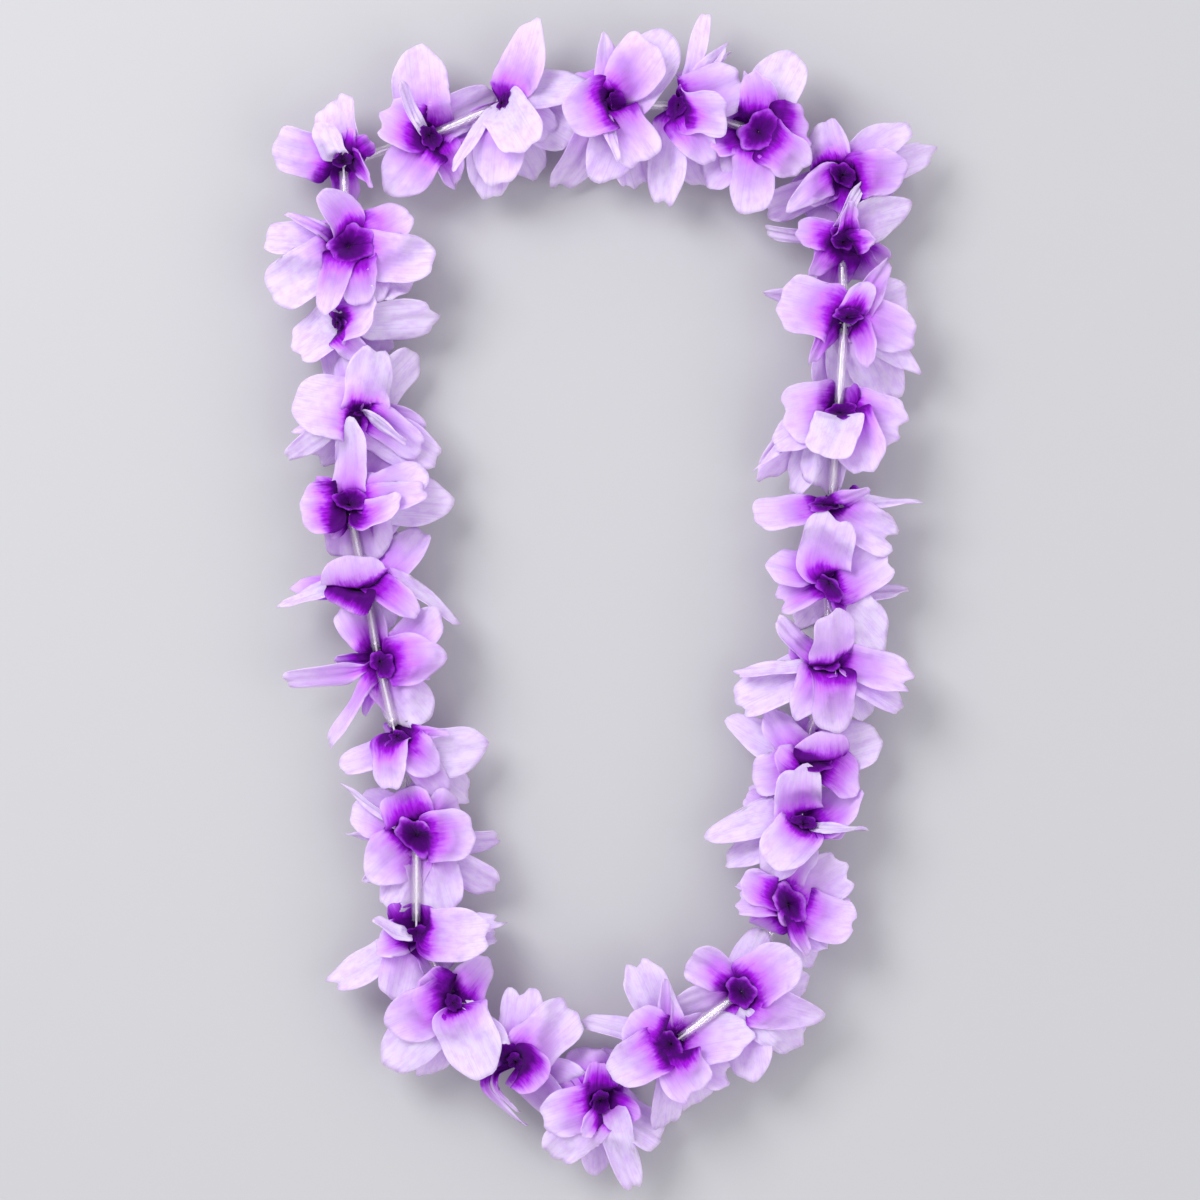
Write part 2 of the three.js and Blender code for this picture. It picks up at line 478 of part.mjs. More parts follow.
// A cord swept through a row of points. A closed one joins its last point to its first.
function sweep(points, radius, sides, closed) {
  const count = points.length;
  const positions = [];
  const indices = [];
  points.forEach((p, k) => {
    const behind = points[closed ? (k + count - 1) % count : Math.max(k - 1, 0)];
    const ahead = points[closed ? (k + 1) % count : Math.min(k + 1, count - 1)].clone().sub(behind);
    const side = unit(up.clone().cross(ahead));
    const top = unit(ahead.clone().cross(side));
    for (let s = 0; s < sides; s++) {
      const turn = (2 * Math.PI * s) / sides;
      const q = p.clone().addScaledVector(side, radius * Math.cos(turn))
        .addScaledVector(top, radius * Math.sin(turn));
      positions.push(...q.toArray());
      if (!closed && k + 1 === count) continue;
      const [a, b] = [k * sides + s, k * sides + ((s + 1) % sides)];
      const [c, d] = [(a + sides) % (count * sides), (b + sides) % (count * sides)];
      indices.push(a, b, d, a, d, c);
    }
  });
  const last = (count - 1) * sides;
  for (let s = 1; !closed && s + 1 < sides; s++) indices.push(0, s + 1, s, last, last + s, last + s + 1);
  return solidOf(positions, indices);
}

// The thread: one closed loop through every bloom and straw, tied in a knot with two short ends.
function threadSolid() {
  const stations = [];
  hubs.forEach((hub, i) => {
    stations.push(hub.clone().addScaledVector(lineFrom(wrap(i - 1), i), -threadBend));
    stations.push(hub.clone().addScaledVector(lineFrom(i, wrap(i + 1)), threadBend));
  });
  const [from, to] = [bareSpan - 1, wrap(bareSpan)];
  const middle = hubs[from].clone().lerp(hubs[to], 0.5);
  const line = lineFrom(from, to);
  let knot = sweep(stations, threadRadius, 5, true);
  for (const turn of [-1, 1]) {
    const ring = new THREE.TorusGeometry(knotRadius * 0.7, knotCord, 4, 6);
    const tilt = unit(line.clone().addScaledVector(up, 0.35 * turn));
    ring.applyQuaternion(new THREE.Quaternion().setFromUnitVectors(up, tilt));
    ring.translate(...middle.clone().addScaledVector(line, turn * knotCord * 0.8).toArray());
    const end = middle.clone().addScaledVector(up, -2.6).addScaledVector(line, turn * 1.6);
    knot = knot.add(solidOfGeometry(ring)).add(rod(threadRadius, 5, 5, end, unit(end.clone().sub(middle))));
  }
  return knot;
}

const petalTones = ["#d9b8f2", "#e2c8f7", "#cfa6ee"];
const fabric = petalTones.map((color) => new THREE.MeshStandardMaterial({ color, roughness: 0.75 }));
const straw = new THREE.MeshStandardMaterial({ color: "#f4f1f8", roughness: 0.15 });
const cotton = new THREE.MeshStandardMaterial({ color: "#f2eef4", roughness: 0.8 });

function placed(name, solid, material, at) {
  const mesh = new THREE.Mesh(geometryOf(solid, at), material);
  mesh.name = name;
  mesh.position.copy(at);
  return mesh;
}

const lei = new THREE.Group();
const numbered = (word, i) => `${word}_${String(i + 1).padStart(2, "0")}`;
blooms.forEach((_, i) => {
  lei.add(placed(numbered("bloom", i), bloomSolid(i), fabric[i % fabric.length], hubs[i]));
  if (i + 1 === bareSpan) return;
  const middle = hubs[i].clone().lerp(hubs[wrap(i + 1)], 0.5);
  lei.add(placed(numbered("tube", i), strawSolid(i), straw, middle));
});
lei.add(placed("thread", threadSolid(), cotton, vec(0, 0, 0)));

export default lei;
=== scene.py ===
import math
import bpy
import numpy as np
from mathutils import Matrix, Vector


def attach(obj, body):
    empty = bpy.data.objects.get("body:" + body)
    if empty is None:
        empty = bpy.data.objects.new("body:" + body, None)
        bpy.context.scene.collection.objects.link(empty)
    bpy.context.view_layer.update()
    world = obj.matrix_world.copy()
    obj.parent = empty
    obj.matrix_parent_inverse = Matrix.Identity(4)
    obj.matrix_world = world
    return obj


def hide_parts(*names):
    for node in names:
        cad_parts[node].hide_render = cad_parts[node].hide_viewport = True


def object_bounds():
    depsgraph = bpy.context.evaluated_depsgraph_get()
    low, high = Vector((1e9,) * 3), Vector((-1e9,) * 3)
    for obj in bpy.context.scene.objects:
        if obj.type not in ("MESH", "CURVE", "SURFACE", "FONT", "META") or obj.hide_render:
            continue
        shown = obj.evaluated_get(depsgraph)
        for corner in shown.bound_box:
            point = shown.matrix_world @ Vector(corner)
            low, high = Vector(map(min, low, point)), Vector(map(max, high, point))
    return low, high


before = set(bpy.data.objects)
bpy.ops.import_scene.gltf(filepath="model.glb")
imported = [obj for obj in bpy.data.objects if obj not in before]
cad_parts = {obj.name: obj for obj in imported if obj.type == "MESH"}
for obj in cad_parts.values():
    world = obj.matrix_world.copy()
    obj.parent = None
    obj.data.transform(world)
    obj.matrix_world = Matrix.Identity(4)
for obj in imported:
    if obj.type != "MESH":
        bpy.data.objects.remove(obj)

cadBox = [list(corner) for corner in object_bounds()]
print("lei: the CAD frame is loaded")

mm = 0.001  # every length below is in millimetres, with +Z up and the lei lying on z = 0

photo = {"width": 1200, "middle": (600.5, 601), "mmPerPixel": 0.385}  # how its pixels lie on the table

# The blooms in turn round the loop, clockwise from the top left. The pixels were read one by one.
# at: where the thread carries it. eyePixel: where its dark middle is seen in the photo.
# mouth: where its cup opens, as azimuth and elevation in degrees. open: how wide the cup is, 1 being usual.
# over: 1 where it lies over the next bloom, -1 where it lies under it.
# petals: the pixel of the tip, rise of the tip, width seen from above, and the kind of tip. Two more may
# follow: how far its middle bows to the left of a straight line, and how strongly it is dyed; on petals
# that lie deep in shade this amount is raised as painted shade.
blooms = [
    {"at": (-99.1, 168.6), "eyePixel": (343, 161), "mouth": (-90, 35), "open": 0.7, "over": 1,
     "petals": [
     ((275, 146), 5, 16, "s", 0, 0.55), ((333, 98), 0, 17.5, "s", -1, 0.3),
     ((322, 124), 13, 10, "r", 0, 0.05), ((351, 131), 11, 6, "r", 0, 1.2),
     ((373, 190), 14, 6, "p", 2, 1.1), ((371, 142), 9, 8, "w", 0, 1.3),
     # painted shade: the low petal pointing down is dyed dark all over because it lies deep in shade
     ((343, 218), -12, 10, "r", 0, 1.6), ((302, 141), -24, 13, "r", 0, 0.4)]},
    {"at": (-66.4, 179.4), "eyePixel": (430, 137), "mouth": (22, 40), "open": 0.9, "over": -1,
     "petals": [
     ((417, 47), 3, 22, "r", 1), ((384, 115), 9, 19, "w", 0, 0.8), ((402, 83), 17, 4, "r", 1, 0.05),
     ((496, 93), -3, 15, "r", 1.5, 0.5), ((389, 192), 6, 20, "r", 0, 0.8),
     ((457, 184), 2, 14, "r", 1, 0.9), ((490, 122), -8, 11, "r", 0, 1.1)]},
    {"at": (-38.7, 191.3), "eyePixel": (504, 103), "mouth": (155, 35), "open": 0.6, "over": -1,
     "petals": [
     ((536, 21), 8, 18, "p", -2), ((514, 48), 4, 10, "r", 0, 0.7), ((588, 88), 4, 17, "r", 2, 0.4),
     ((528, 150), 16, 19, "w", 0, 0.15), ((497, 187), 6, 20, "r", 0, 0.9),
     ((487, 198), -3, 20, "r", 0, 0.8), ((454, 174), 13, 4, "r", -2, 0.05),
     ((535, 176), -9, 17, "r", 0, 0.5), ((575, 142), -4, 19, "r", 0, 0.5),
     ((551, 134), -2, 16, "r", 0, 0.6)]},
    {"at": (-2.9, 191.7), "eyePixel": (617, 105), "mouth": (0, 35), "open": 0.8, "over": 1,
     "petals": [
     ((672, 31), -1, 22, "r", -2, 0.3), ((653, 47), 8, 22, "f", -2, 1.2),
     ((646, 163), 12, 17.5, "s", 0, 0.9), ((618, 166), 15, 4.6, "p", 0, 0.6),
     ((600, 183), -2, 20, "r", 2, 0.8), ((636, 186), -8, 15, "w"), ((566, 120), 17, 22, "r", 0, 0.7),
     ((605, 34), 4, 10, "p", 1, 0.7), ((572, 74), -3, 14, "r"), ((560, 186), -10, 16, "w", 0, 1.3)]},
    {"at": (30.6, 191), "eyePixel": (676, 108), "mouth": (170, 45), "open": 0.8, "over": -1,
     "petals": [
     ((705, 12), 6, 7, "r", -3.5, 0.9), ((728, 39), 2, 8, "p", -1, 0.7), ((729, 46), 0, 3, "p", 0, 0.6),
     ((742, 82), 7, 21, "w"), ((725, 118), 16, 15.5, "s", 0, 0.5), ((711, 164), 8, 14, "r", 0, 1.2),
     ((713, 184), -6, 19, "r", -1, 0.8), ((661, 207), 4, 14, "r", 0, 0.7), ((720, 70), -24, 14, "r")]},
    {"at": (60.2, 180.5), "eyePixel": (760, 133), "mouth": (150, 60), "open": 1.4, "over": 1,
     "petals": [
     ((792, 53), 1, 20, "r", 2, 0.25), ((754, 77), 11, 14, "r"), ((745, 69), 0, 3, "p", 0, 0.6),
     ((807, 130), 6, 18, "w", 0, 1.3), ((803, 173), 9, 16, "r", 0, 0.9), ((748, 216), 5, 16, "r"),
     ((711, 147), 5, 14, "w", 0, 1.6), ((705, 182), -6, 16, "r", 0, 0.9), ((722, 108), -12, 14, "r"),
     ((728, 184), -9, 16, "r", 0, 0.9)]},
    {"at": (93, 163.6), "eyePixel": (842, 176), "mouth": (-120, 40), "open": 0.9, "over": 1,
     "petals": [
     ((824, 121), 5, 16, "r", 0, 0.3), ((911, 125), 2, 15, "p", 2, 0.8),
     ((933, 149), -2, 12.5, "r", 0, 0.5), ((905, 172), 9, 18, "r", 0, 1.2), ((788, 214), 12, 11, "p"),
     ((812, 205), 8, 11, "r", 0, 0.9), ((766, 212), 1, 12, "s", 1, 1.4),
     ((895, 188), 0, 9, "r", 0, 1.3), ((848, 217), -3, 15, "r", 0, 1.5), ((817, 226), -8, 17, "r"),
     ((792, 196), -8, 15, "r", 0, 1.2), ((900, 140), -24, 13, "r")]},
    {"at": (93, 137.1), "eyePixel": (843, 238), "mouth": (-90, 50), "open": 0.9, "over": -1,
     "petals": [
     ((912, 203), 4, 15.5, "p", 3, 0.4), ((847, 203), 15, 6.5, "p", 0, 0.6),
     ((871, 243), 14, 8, "p", -2, 0.4), ((869, 174), 12, 5, "p", 3, 0.4),
     ((766, 231), 1, 5, "s", 0, 0.6), ((796, 232), 6, 11, "r", 0, 0.9),
     ((811, 277), 8, 10, "p", 0, 0.8), ((832, 290), -2, 14, "r", 0, 1.2),
     ((868, 278), -6, 15, "r", 0, 1.3), ((888, 262), -8, 12, "r", 0, 1.4)]},
    {"at": (94.1, 108.2), "eyePixel": (848, 316), "mouth": (-92, 30), "open": 0.9, "over": -1,
     "petals": [
     ((781, 301), 9, 22, "s"), ((765, 292), 2, 9, "p", -3), ((868, 284), 11, 10, "r", 0, 0.35),
     ((891, 261), 5, 11, "p", 0, 1.6), ((908, 292), 0, 18, "r", 0, 0.3), ((914, 342), 7, 18, "r", 1),
     ((919, 372), -2, 12, "p", 0, 0.8), ((867, 368), 12, 8.5, "r", 0, 1.2),
     ((895, 400), -6, 19, "r", 0, 0.7), ((824, 400), -10, 16, "r"), ((812, 365), 4, 9, "p", -1, 1.6),
     ((853, 402), -12, 17, "r", 0, 0.05)]},
    {"at": (91.4, 71.6), "eyePixel": (842, 411), "mouth": (95, 38), "open": 0.9, "over": 1,
     "petals": [
     ((783, 418), 8, 23, "s", 0, 0.6), ((822, 458), 17, 18, "s", 0, 0.08),
     ((867, 472), 12, 20, "r", 0, 0.8), ((902, 428), 4, 20, "w", 0, 0.6),
     ((773, 446), 4, 13, "r", 0, 0.6), ((752, 467), 0, 5, "p", 0, 0.5), ((762, 477), -5, 14, "r"),
     ((818, 490), -7, 17, "s", 0, 0.3), ((845, 388), 8, 8, "s", 0, 1.6),
     ((790, 490), -8, 15, "r", 0, 0.7), ((858, 470), -6, 16, "r")]},
    {"at": (89.1, 37.7), "eyePixel": (824, 504), "mouth": (95, 28), "open": 1, "over": 1,
     "petals": [
     ((753, 515), 6, 12, "s", 1, 0.9), ((922, 502), 4, 5.5, "p", 0, 0.15),
     ((896, 543), 2, 17, "n", -1, 0.6), ((868, 490), 14, 7, "p", 1, 0.9),
     ((778, 522), -3, 8, "p", 1, 0.8), ((868, 520), -4, 15, "r", 0, 0.7), ((850, 545), -24, 14, "r")]},
    {"at": (87.6, 9.2), "eyePixel": (828, 588), "mouth": (45, 35), "open": 1.1, "over": -1,
     "petals": [
     ((836, 517), 12, 21, "s", 0, 0.7), ((769, 562), 6, 13.5, "k", 0, 0.7),
     ((884, 553), 12, 20, "w", 1, 0.6), ((907, 587), -1, 10, "p", 0, 0.4),
     ((777, 601), 3, 13, "n", 0, 0.8), ((886, 647), 4, 17, "r", 1, 0.2),
     ((845, 614), 6, 6, "p", 0, 1.2), ((800, 625), -24, 12, "r")]},
    {"at": (88.4, -24.6), "eyePixel": (824, 662), "mouth": (90, 30), "open": 1, "over": 1,
     "petals": [
     ((832, 612), 14, 17, "s", 0, 0.7), ((775, 619), 8, 8.5, "r", 0, 0.6),
     ((789, 641), 6, 9, "p", 0, 0.9), ((735, 674), 2, 5, "r", 0, 0.3),
     ((738, 704), -1, 16, "s", 0, 0.5), ((793, 717), 8, 13, "r", 0, 0.9), ((835, 733), 7, 16, "r"),
     ((909, 680), 6, 14, "w", 0, 1.3), ((903, 707), 1, 12, "r", 0, 0.7),
     ((874, 714), -5, 17, "r", 0, 0.1)]},
    {"at": (78, -60.1), "eyePixel": (818, 764), "mouth": (100, 30), "open": 0.9, "over": 1,
     "petals": [
     ((881, 736), -2, 20, "r", 1, 0.25), ((820, 731), 12, 21, "r", 0, 1.1),
     ((774, 753), 10, 12, "r", 2, 0.9), ((764, 710), 4, 13, "r"), ((726, 718), -4, 15, "p", 0, 0.4),
     ((752, 776), 4, 15, "s", 0, 0.6), ((857, 790), 1, 16, "r", 0, 1.1),
     ((800, 716), -3, 13, "r", 0, 1.2), ((840, 800), -24, 15, "r")]},
    {"at": (77.6, -86.2), "eyePixel": (803, 821), "mouth": (75, 30), "open": 0.8, "over": 1,
     "petals": [
     ((799, 766), 12, 19, "s", 0, 0.9), ((857, 786), 6, 18, "r", -1, 1.1),
     ((846, 815), 2, 15, "r", 0, 0.6), ((744, 800), 2, 16, "r", 0, 0.9),
     ((867, 826), 6, 3.4, "p", 0, 0.1), ((699, 838), 2, 15, "p", -3, 0.5),
     ((766, 863), 14, 19.5, "r", 0, 0.35), ((727, 862), -2, 16, "r", 0, 0.6),
     ((766, 876), 1, 17, "r", 0, 0.5), ((752, 786), -3, 12, "r", 0, 0.5)]},
    {"at": (71.8, -117), "eyePixel": (788, 903), "mouth": (30, 35), "open": 1.6, "over": -1,
     "petals": [
     ((813, 838), 7, 12, "r", 0, 0.9), ((847, 867), 6, 20, "w", 0, 0.7),
     ((849, 903), 0, 8, "r", 0, 0.3), ((856, 927), 6, 17, "n", 0, 0.75),
     ((828, 947), 0, 13, "r", 0, 0.2), ((808, 954), 10, 5.5, "r", 0, 0.9),
     ((812, 968), -6, 9, "r", 0, 0.3), ((740, 880), 10, 12.5, "r", 0, 0.8),
     ((734, 886), -2, 4, "p", 0, 0.6), ((738, 904), 6, 11, "w", 0, 0.5),
     ((757, 927), 4, 12, "r", 0, 0.8)]},
    {"at": (54.1, -150.5), "eyePixel": (741, 990), "mouth": (215, 50), "open": 1.1, "over": -1,
     "petals": [
     ((797, 952), 12, 21, "r", 0, 0.9), ((809, 978), 1, 17, "r", 0, 0.15), ((825, 1018), 6, 18, "p"),
     ((800, 1049), -2, 17, "r", 0, 0.1), ((752, 1081), 2, 17, "r"), ((690, 957), 6, 17, "f", 0, 0.9),
     ((674, 1013), -3, 13, "r", -1, 0.3), ((762, 930), -10, 12, "r", 0, 0.3),
     ((772, 1025), -24, 15, "r")]},
    {"at": (27.9, -170.2), "eyePixel": (668, 1043), "mouth": (35, 50), "open": 1, "over": 1,
     "petals": [
     ((637, 963), 4, 15, "w", 0, 0.3), ((664, 975), 5, 4.5, "p", 0, 0.9),
     ((627, 1015), 12, 18.5, "r", 0, 0.85), ((751, 1032), 4, 19.5, "r", 0, 0.6),
     ((696, 1092), 10, 19, "w", 0, 0.6), ((729, 1078), -2, 15, "w", 0, 0.5),
     ((697, 1107), -6, 17, "s", 0, 0.1), ((666, 1129), -4, 11.5, "s", 0, 0.9),
     ((610, 1073), 10, 19, "r", 0, 0.6), ((581, 1020), -4, 9, "r", 0, 0.5)]},
    {"at": (-0.2, -191.3), "eyePixel": (600, 1100), "mouth": (0, 60), "open": 0.7, "over": -1,
     "petals": [
     ((542, 1119), 8, 18, "r", 0, 0.5), ((552, 1155), 4, 18, "s", 1, 0.4),
     ((597, 1176), -4, 16, "r", 0, 0.3), ((633, 1190), 2, 13, "r", 1, 0.3),
     ((661, 1139), 0, 16, "s", 0, 0.3), ((640, 1116), 6, 12, "p", 0, 1.4),
     ((582, 1132), 14, 6, "r", 2, 0.3), ((598, 1060), 6, 13, "r", 0, 0.9), ((560, 1075), -6, 16, "r"),
     ((615, 1150), -24, 15, "r"), ((580, 1048), -4, 17, "r"), ((615, 1055), -6, 15, "r", 0, 0.8)]},
    {"at": (-32.5, -177.1), "eyePixel": (516, 1060), "mouth": (-120, 60), "open": 0.6, "over": -1,
     "petals": [
     ((525, 985), 4, 15, "n", 0, 0.75), ((574, 1007), 6, 20, "w", 0, 0.95),
     ((543, 1082), 12, 17.5, "r", 0, 0.9), ((568, 1122), -5, 15, "r", 0, 1.2),
     ((523, 1126), 0, 3.2, "s", -12, 0.6), ((500, 1045), 8, 8, "r", 0, 1.2),
     ((585, 1085), -8, 14, "r", 0, 1.2), ((490, 1040), -5, 12, "r", 0, 0.8),
     ((523, 1114), 3, 2.2, "p", -9, 0.4)]},
    {"at": (-56.4, -154), "eyePixel": (454, 1001), "mouth": (40, 45), "open": 0.6, "over": 1,
     "petals": [
     ((488, 1073), 10, 22.5, "r", 0, 0.3), ((510, 1042), 13, 4, "r", 2.5, 0.02),
     ((389, 1026), 8, 20, "r", 0, 1.25), ((384, 1066), -2, 21, "r", 0, 0.35),
     ((422, 1073), -4, 14, "s", 0, 0.9), ((421, 977), 10, 17, "r", 0, 1.3),
     ((489, 957), 4, 16, "r", 0, 0.7), ((476, 985), -6, 12, "r"), ((410, 1035), -24, 15, "r")]},
    {"at": (-71, -126.7), "eyePixel": (417, 934), "mouth": (95, 40), "open": 0.8, "over": 1,
     "petals": [
     ((490, 929), 10, 20.5, "r", 0, 0.4), ((499, 922), -4, 8, "w", 0, 0.5),
     ((497, 937), -6, 10, "r", 0, 0.6), ((376, 947), 6, 13.5, "r", -1, 0.4),
     ((375, 916), 14, 4.5, "r", 0, 0.1), ((401, 1000), 4, 21, "w", 0, 0.5),
     ((330, 985), 0, 13, "k", 2.5, 0.4), ((450, 968), 0, 17, "r", 0, 0.5),
     ((418, 905), 8, 12, "s", 0, 1.6), ((394, 903), 2, 10, "s", 0, 1.6)]},
    {"at": (-71, -89.7), "eyePixel": (417, 836), "mouth": (225, 50), "open": 1.4, "over": -1,
     "petals": [
     ((402, 788), 7, 20, "r", 0, 1.3), ((353, 805), 3, 21, "r", 0, 0.5),
     ((339, 784), 7, 3.4, "p", 1, 0.5), ((346, 836), 1, 3.4, "p", 1, 0.5),
     ((476, 831), 10, 20, "r", 0, 0.85), ((495, 839), -4, 11, "s", 0, 0.45), ((457, 800), 0, 16, "r"),
     ((368, 880), 5, 22, "p", 0, 0.5), ((363, 882), 2, 8, "p", 0, 0.5),
     ((447, 914), 2, 20, "r", 0, 0.5), ((388, 912), 3, 18, "r", 0, 0.6),
     ((494, 890), 0, 14, "s", 0, 0.4), ((420, 775), -4, 16, "r", 0, 0.8)]},
    {"at": (-79.1, -51.6), "eyePixel": (400, 738), "mouth": (70, 35), "open": 0.7, "over": -1,
     "petals": [
     ((392, 787), 14, 13.5, "r", 0, 0.6), ((339, 767), 6, 12, "k", 3, 0.35),
     ((438, 772), 9, 15, "r", 0, 0.85), ((487, 748), 0, 20.5, "k", -5, 0.15),
     ((465, 799), -6, 14, "s", 0, 0.5), ((446, 794), -4, 13, "r", 0, 1.6),
     ((448, 732), 5, 6, "p", 1, 0.6), ((420, 726), 2, 7, "p", 0, 1.1), ((420, 760), -24, 15, "r")]},
    {"at": (-85.7, -22.3), "eyePixel": (383, 664), "mouth": (-150, 55), "open": 0.9, "over": -1,
     "petals": [
     ((350, 603), 6, 18, "f", 0, 1.1), ((440, 609), 4, 15, "r", -2, 1.5),
     ((446, 653), 8, 19.5, "p", 0, 1.3), ((430, 681), 2, 5, "p", 0, 1.2),
     ((424, 722), -4, 19, "r", 0, 0.5), ((283, 679), 4, 9, "k", 2.5, 1.6),
     ((337, 662), -2, 7, "s", 0, 0.9), ((327, 743), 0, 5.5, "s", 0, 1.6),
     ((362, 713), 0, 7, "p", 0, 1.4), ((402, 727), -7, 12, "s", 0, 0.6)]},
    {"at": (-91.1, 8.1), "eyePixel": (360, 588), "mouth": (95, 28), "open": 1.3, "over": -1,
     "petals": [
     ((352, 555), 14, 25, "r"), ((291, 587), 2, 10, "p", 0, 1.6), ((279, 607), 8, 6, "p", -1, 0.15),
     ((345, 609), 8, 19, "r", 0, 0.8), ((419, 614), 9, 11, "r", 3, 1.6),
     ((461, 622), 4, 6.6, "p", 5, 0.6), ((390, 629), -4, 14, "p", 0, 0.1),
     ((424, 528), 0, 17, "r", -1, 1.3), ((392, 532), -2, 14, "r", 0, 1.2)]},
    {"at": (-96.8, 35.4), "eyePixel": (352, 500), "mouth": (90, 45), "open": 1, "over": 1,
     "petals": [
     ((302, 509), 7, 20, "r", 0, 0.4), ((354, 420), 9, 12.5, "r"), ((315, 477), -4, 8, "p", 0, 1.6),
     ((429, 472), 4, 15, "r", -1), ((401, 499), 14, 11, "s", -3, 0.6),
     ((452, 503), -3, 20, "r", 0, 0.3), ((429, 492), 8, 12, "r"), ((352, 557), -8, 19, "s", 0, 0.7),
     ((388, 552), -6, 15, "r", 0, 0.8), ((326, 530), -3, 14, "r", 0, 0.6),
     ((388, 452), -6, 17, "r", 0, 1.1), ((400, 520), -5, 16, "r", 0, 0.5)]},
    {"at": (-92.2, 72.8), "eyePixel": (360, 414), "mouth": (-90, 30), "open": 0.3, "over": 1,
     "petals": [
     ((294, 399), 8, 24, "r", 0, 0.25), ((373, 347), 8, 17, "r", 0, 0.3),
     ((414, 353), -3, 14, "s", 0, 0.1), ((437, 462), 2, 17, "r", 0, 0.5),
     ((421, 452), 6, 13, "s", 1, 0.8), ((424, 430), 2, 13, "r", 1, 0.9),
     ((407, 446), 14, 3.8, "r", 0, 0.03), ((286, 459), 1, 9, "r", -1, 0.4),
     ((293, 431), -2, 7, "p", 0, 0.6), ((318, 461), -6, 15, "r", 0, 0.5),
     ((337, 440), 0, 9, "r", 0, 1.6), ((345, 352), 2, 12, "r", 0, 0.6)]},
    {"at": (-100.3, 107), "eyePixel": (338, 325), "mouth": (-150, 50), "open": 0.4, "over": -1,
     "petals": [
     ((377, 306), 15, 16, "s", -3, 0.3), ((437, 318), 4, 15, "k", 0, 0.1),
     ((411, 330), 2, 7, "p", 0, 1.6), ((296, 352), 4, 18, "w", 0, 0.05),
     ((345, 391), 0, 15, "s", 0, 0.4), ((366, 360), 8, 11, "r", -2, 0.2),
     ((372, 355), -6, 15, "r", 0, 0.4), ((325, 305), -10, 13, "r"), ((392, 345), -6, 13, "r", 0, 0.3)]},
    {"at": (-97.6, 135.9), "eyePixel": (352, 246), "mouth": (80, 80), "open": 1.4, "over": 1,
     "petals": [
     ((267, 236), 6, 15, "s", 0, 0.4), ((272, 296), 5, 20, "s", 0, 0.4),
     ((287, 212), 6, 5.4, "p", 0, 0.7), ((321, 194), 14, 13, "p", -4, 0.8), ((411, 214), 5, 18, "r"),
     ((436, 262), 6, 18.5, "r", -2.5, 0.8), ((410, 292), -2, 18, "r", 0, 0.4),
     ((380, 303), 2, 14, "r", 0, 0.7), ((325, 318), 12, 12, "p"), ((361, 309), 7, 14, "r"),
     ((335, 312), 0, 13, "r", 0, 1.3), ((320, 270), -24, 15, "r")]},
]

lay = {  # how the blooms sit on the thread
    "rest": 18,  # the thread above the table
    "step": 2.2,  # a bloom that lies over its neighbour is this much higher
    "strawGap": 3.3,  # from a bloom's middle to the end of a straw
    "nearlyUp": 0.95,  # a cup that opens more steeply than this has its start turned to the east
}
up = np.array((0.0, 0.0, 1.0))


def unit(v):
    return v / np.linalg.norm(v, axis=-1, keepdims=True)


def across(v, axis):  # v without its part along axis
    return v - np.sum(v * axis, axis=-1, keepdims=True) * axis


def smooth(t):
    t = np.clip(t, 0, 1)
    return t * t * (3 - 2 * t)


def heading(azimuth, elevation):
    a, e = math.radians(azimuth), math.radians(elevation)
    return np.array((math.cos(e) * math.cos(a), math.cos(e) * math.sin(a), math.sin(e)))


def hubOf(i):  # lifted for each neighbour it lies over, lowered for each that lies over it
    over = blooms[i]["over"] - blooms[i - 1]["over"]
    return np.array((*blooms[i]["at"], lay["rest"] + lay["step"] * over / 2))


count = len(blooms)
hubs = [hubOf(i) for i in range(count)]


def lineFrom(a, b):
    return unit(hubs[b % count] - hubs[a % count])


def inPlace(pixel):  # where a pixel of the photo lies on the table, in mm
    east = (pixel[0] - photo["middle"][0]) * photo["mmPerPixel"]
    north = (photo["middle"][1] - pixel[1]) * photo["mmPerPixel"]
    return np.array((east, north))


def halfMm(length):  # read one by one, so no finer than this
    return round(float(length) * 2) / 2


def eyeOf(i):  # from the thread to the middle of the throat
    offset = inPlace(blooms[i]["eyePixel"]) - blooms[i]["at"]
    return halfMm(offset[0]), halfMm(offset[1])


def dyeAndShadeOf(amount):  # a petal with next to no dye stays pale, the others have at least half of it
    if amount < petalDye["paleBelow"]:
        return amount
    return round((petalDye["least"] + petalDye["more"] * amount) * petalDye["steps"]) / petalDye["steps"]


def roomOf(i):  # how a bloom's cup is turned
    mouth = heading(*blooms[i]["mouth"])
    toward = np.array((1.0, 0, 0)) if abs(mouth[2]) > lay["nearlyUp"] else up
    start = unit(across(toward, mouth))
    eye = np.array((*eyeOf(i), 0.0))
    return {"hub": hubs[i], "eye": eye, "mouth": mouth, "start": start, "quarter": np.cross(mouth, start),
            "cup": petalCup["radius"] * blooms[i]["open"]}


def outAt(room, angle):
    angle = np.asarray(angle)[..., None]
    return room["start"] * np.cos(angle) + room["quarter"] * np.sin(angle)


def ringAt(room, angle, radius, depth):  # the cup leans from the thread to the eye
    radius, depth = np.asarray(radius)[..., None], np.asarray(depth)[..., None]
    leaning = np.clip(depth / petalCup["depth"], -1, 1)
    middle = room["hub"] + up * room["mouth"][2] * depth + room["eye"] * leaning
    return middle + outAt(room, angle) * radius


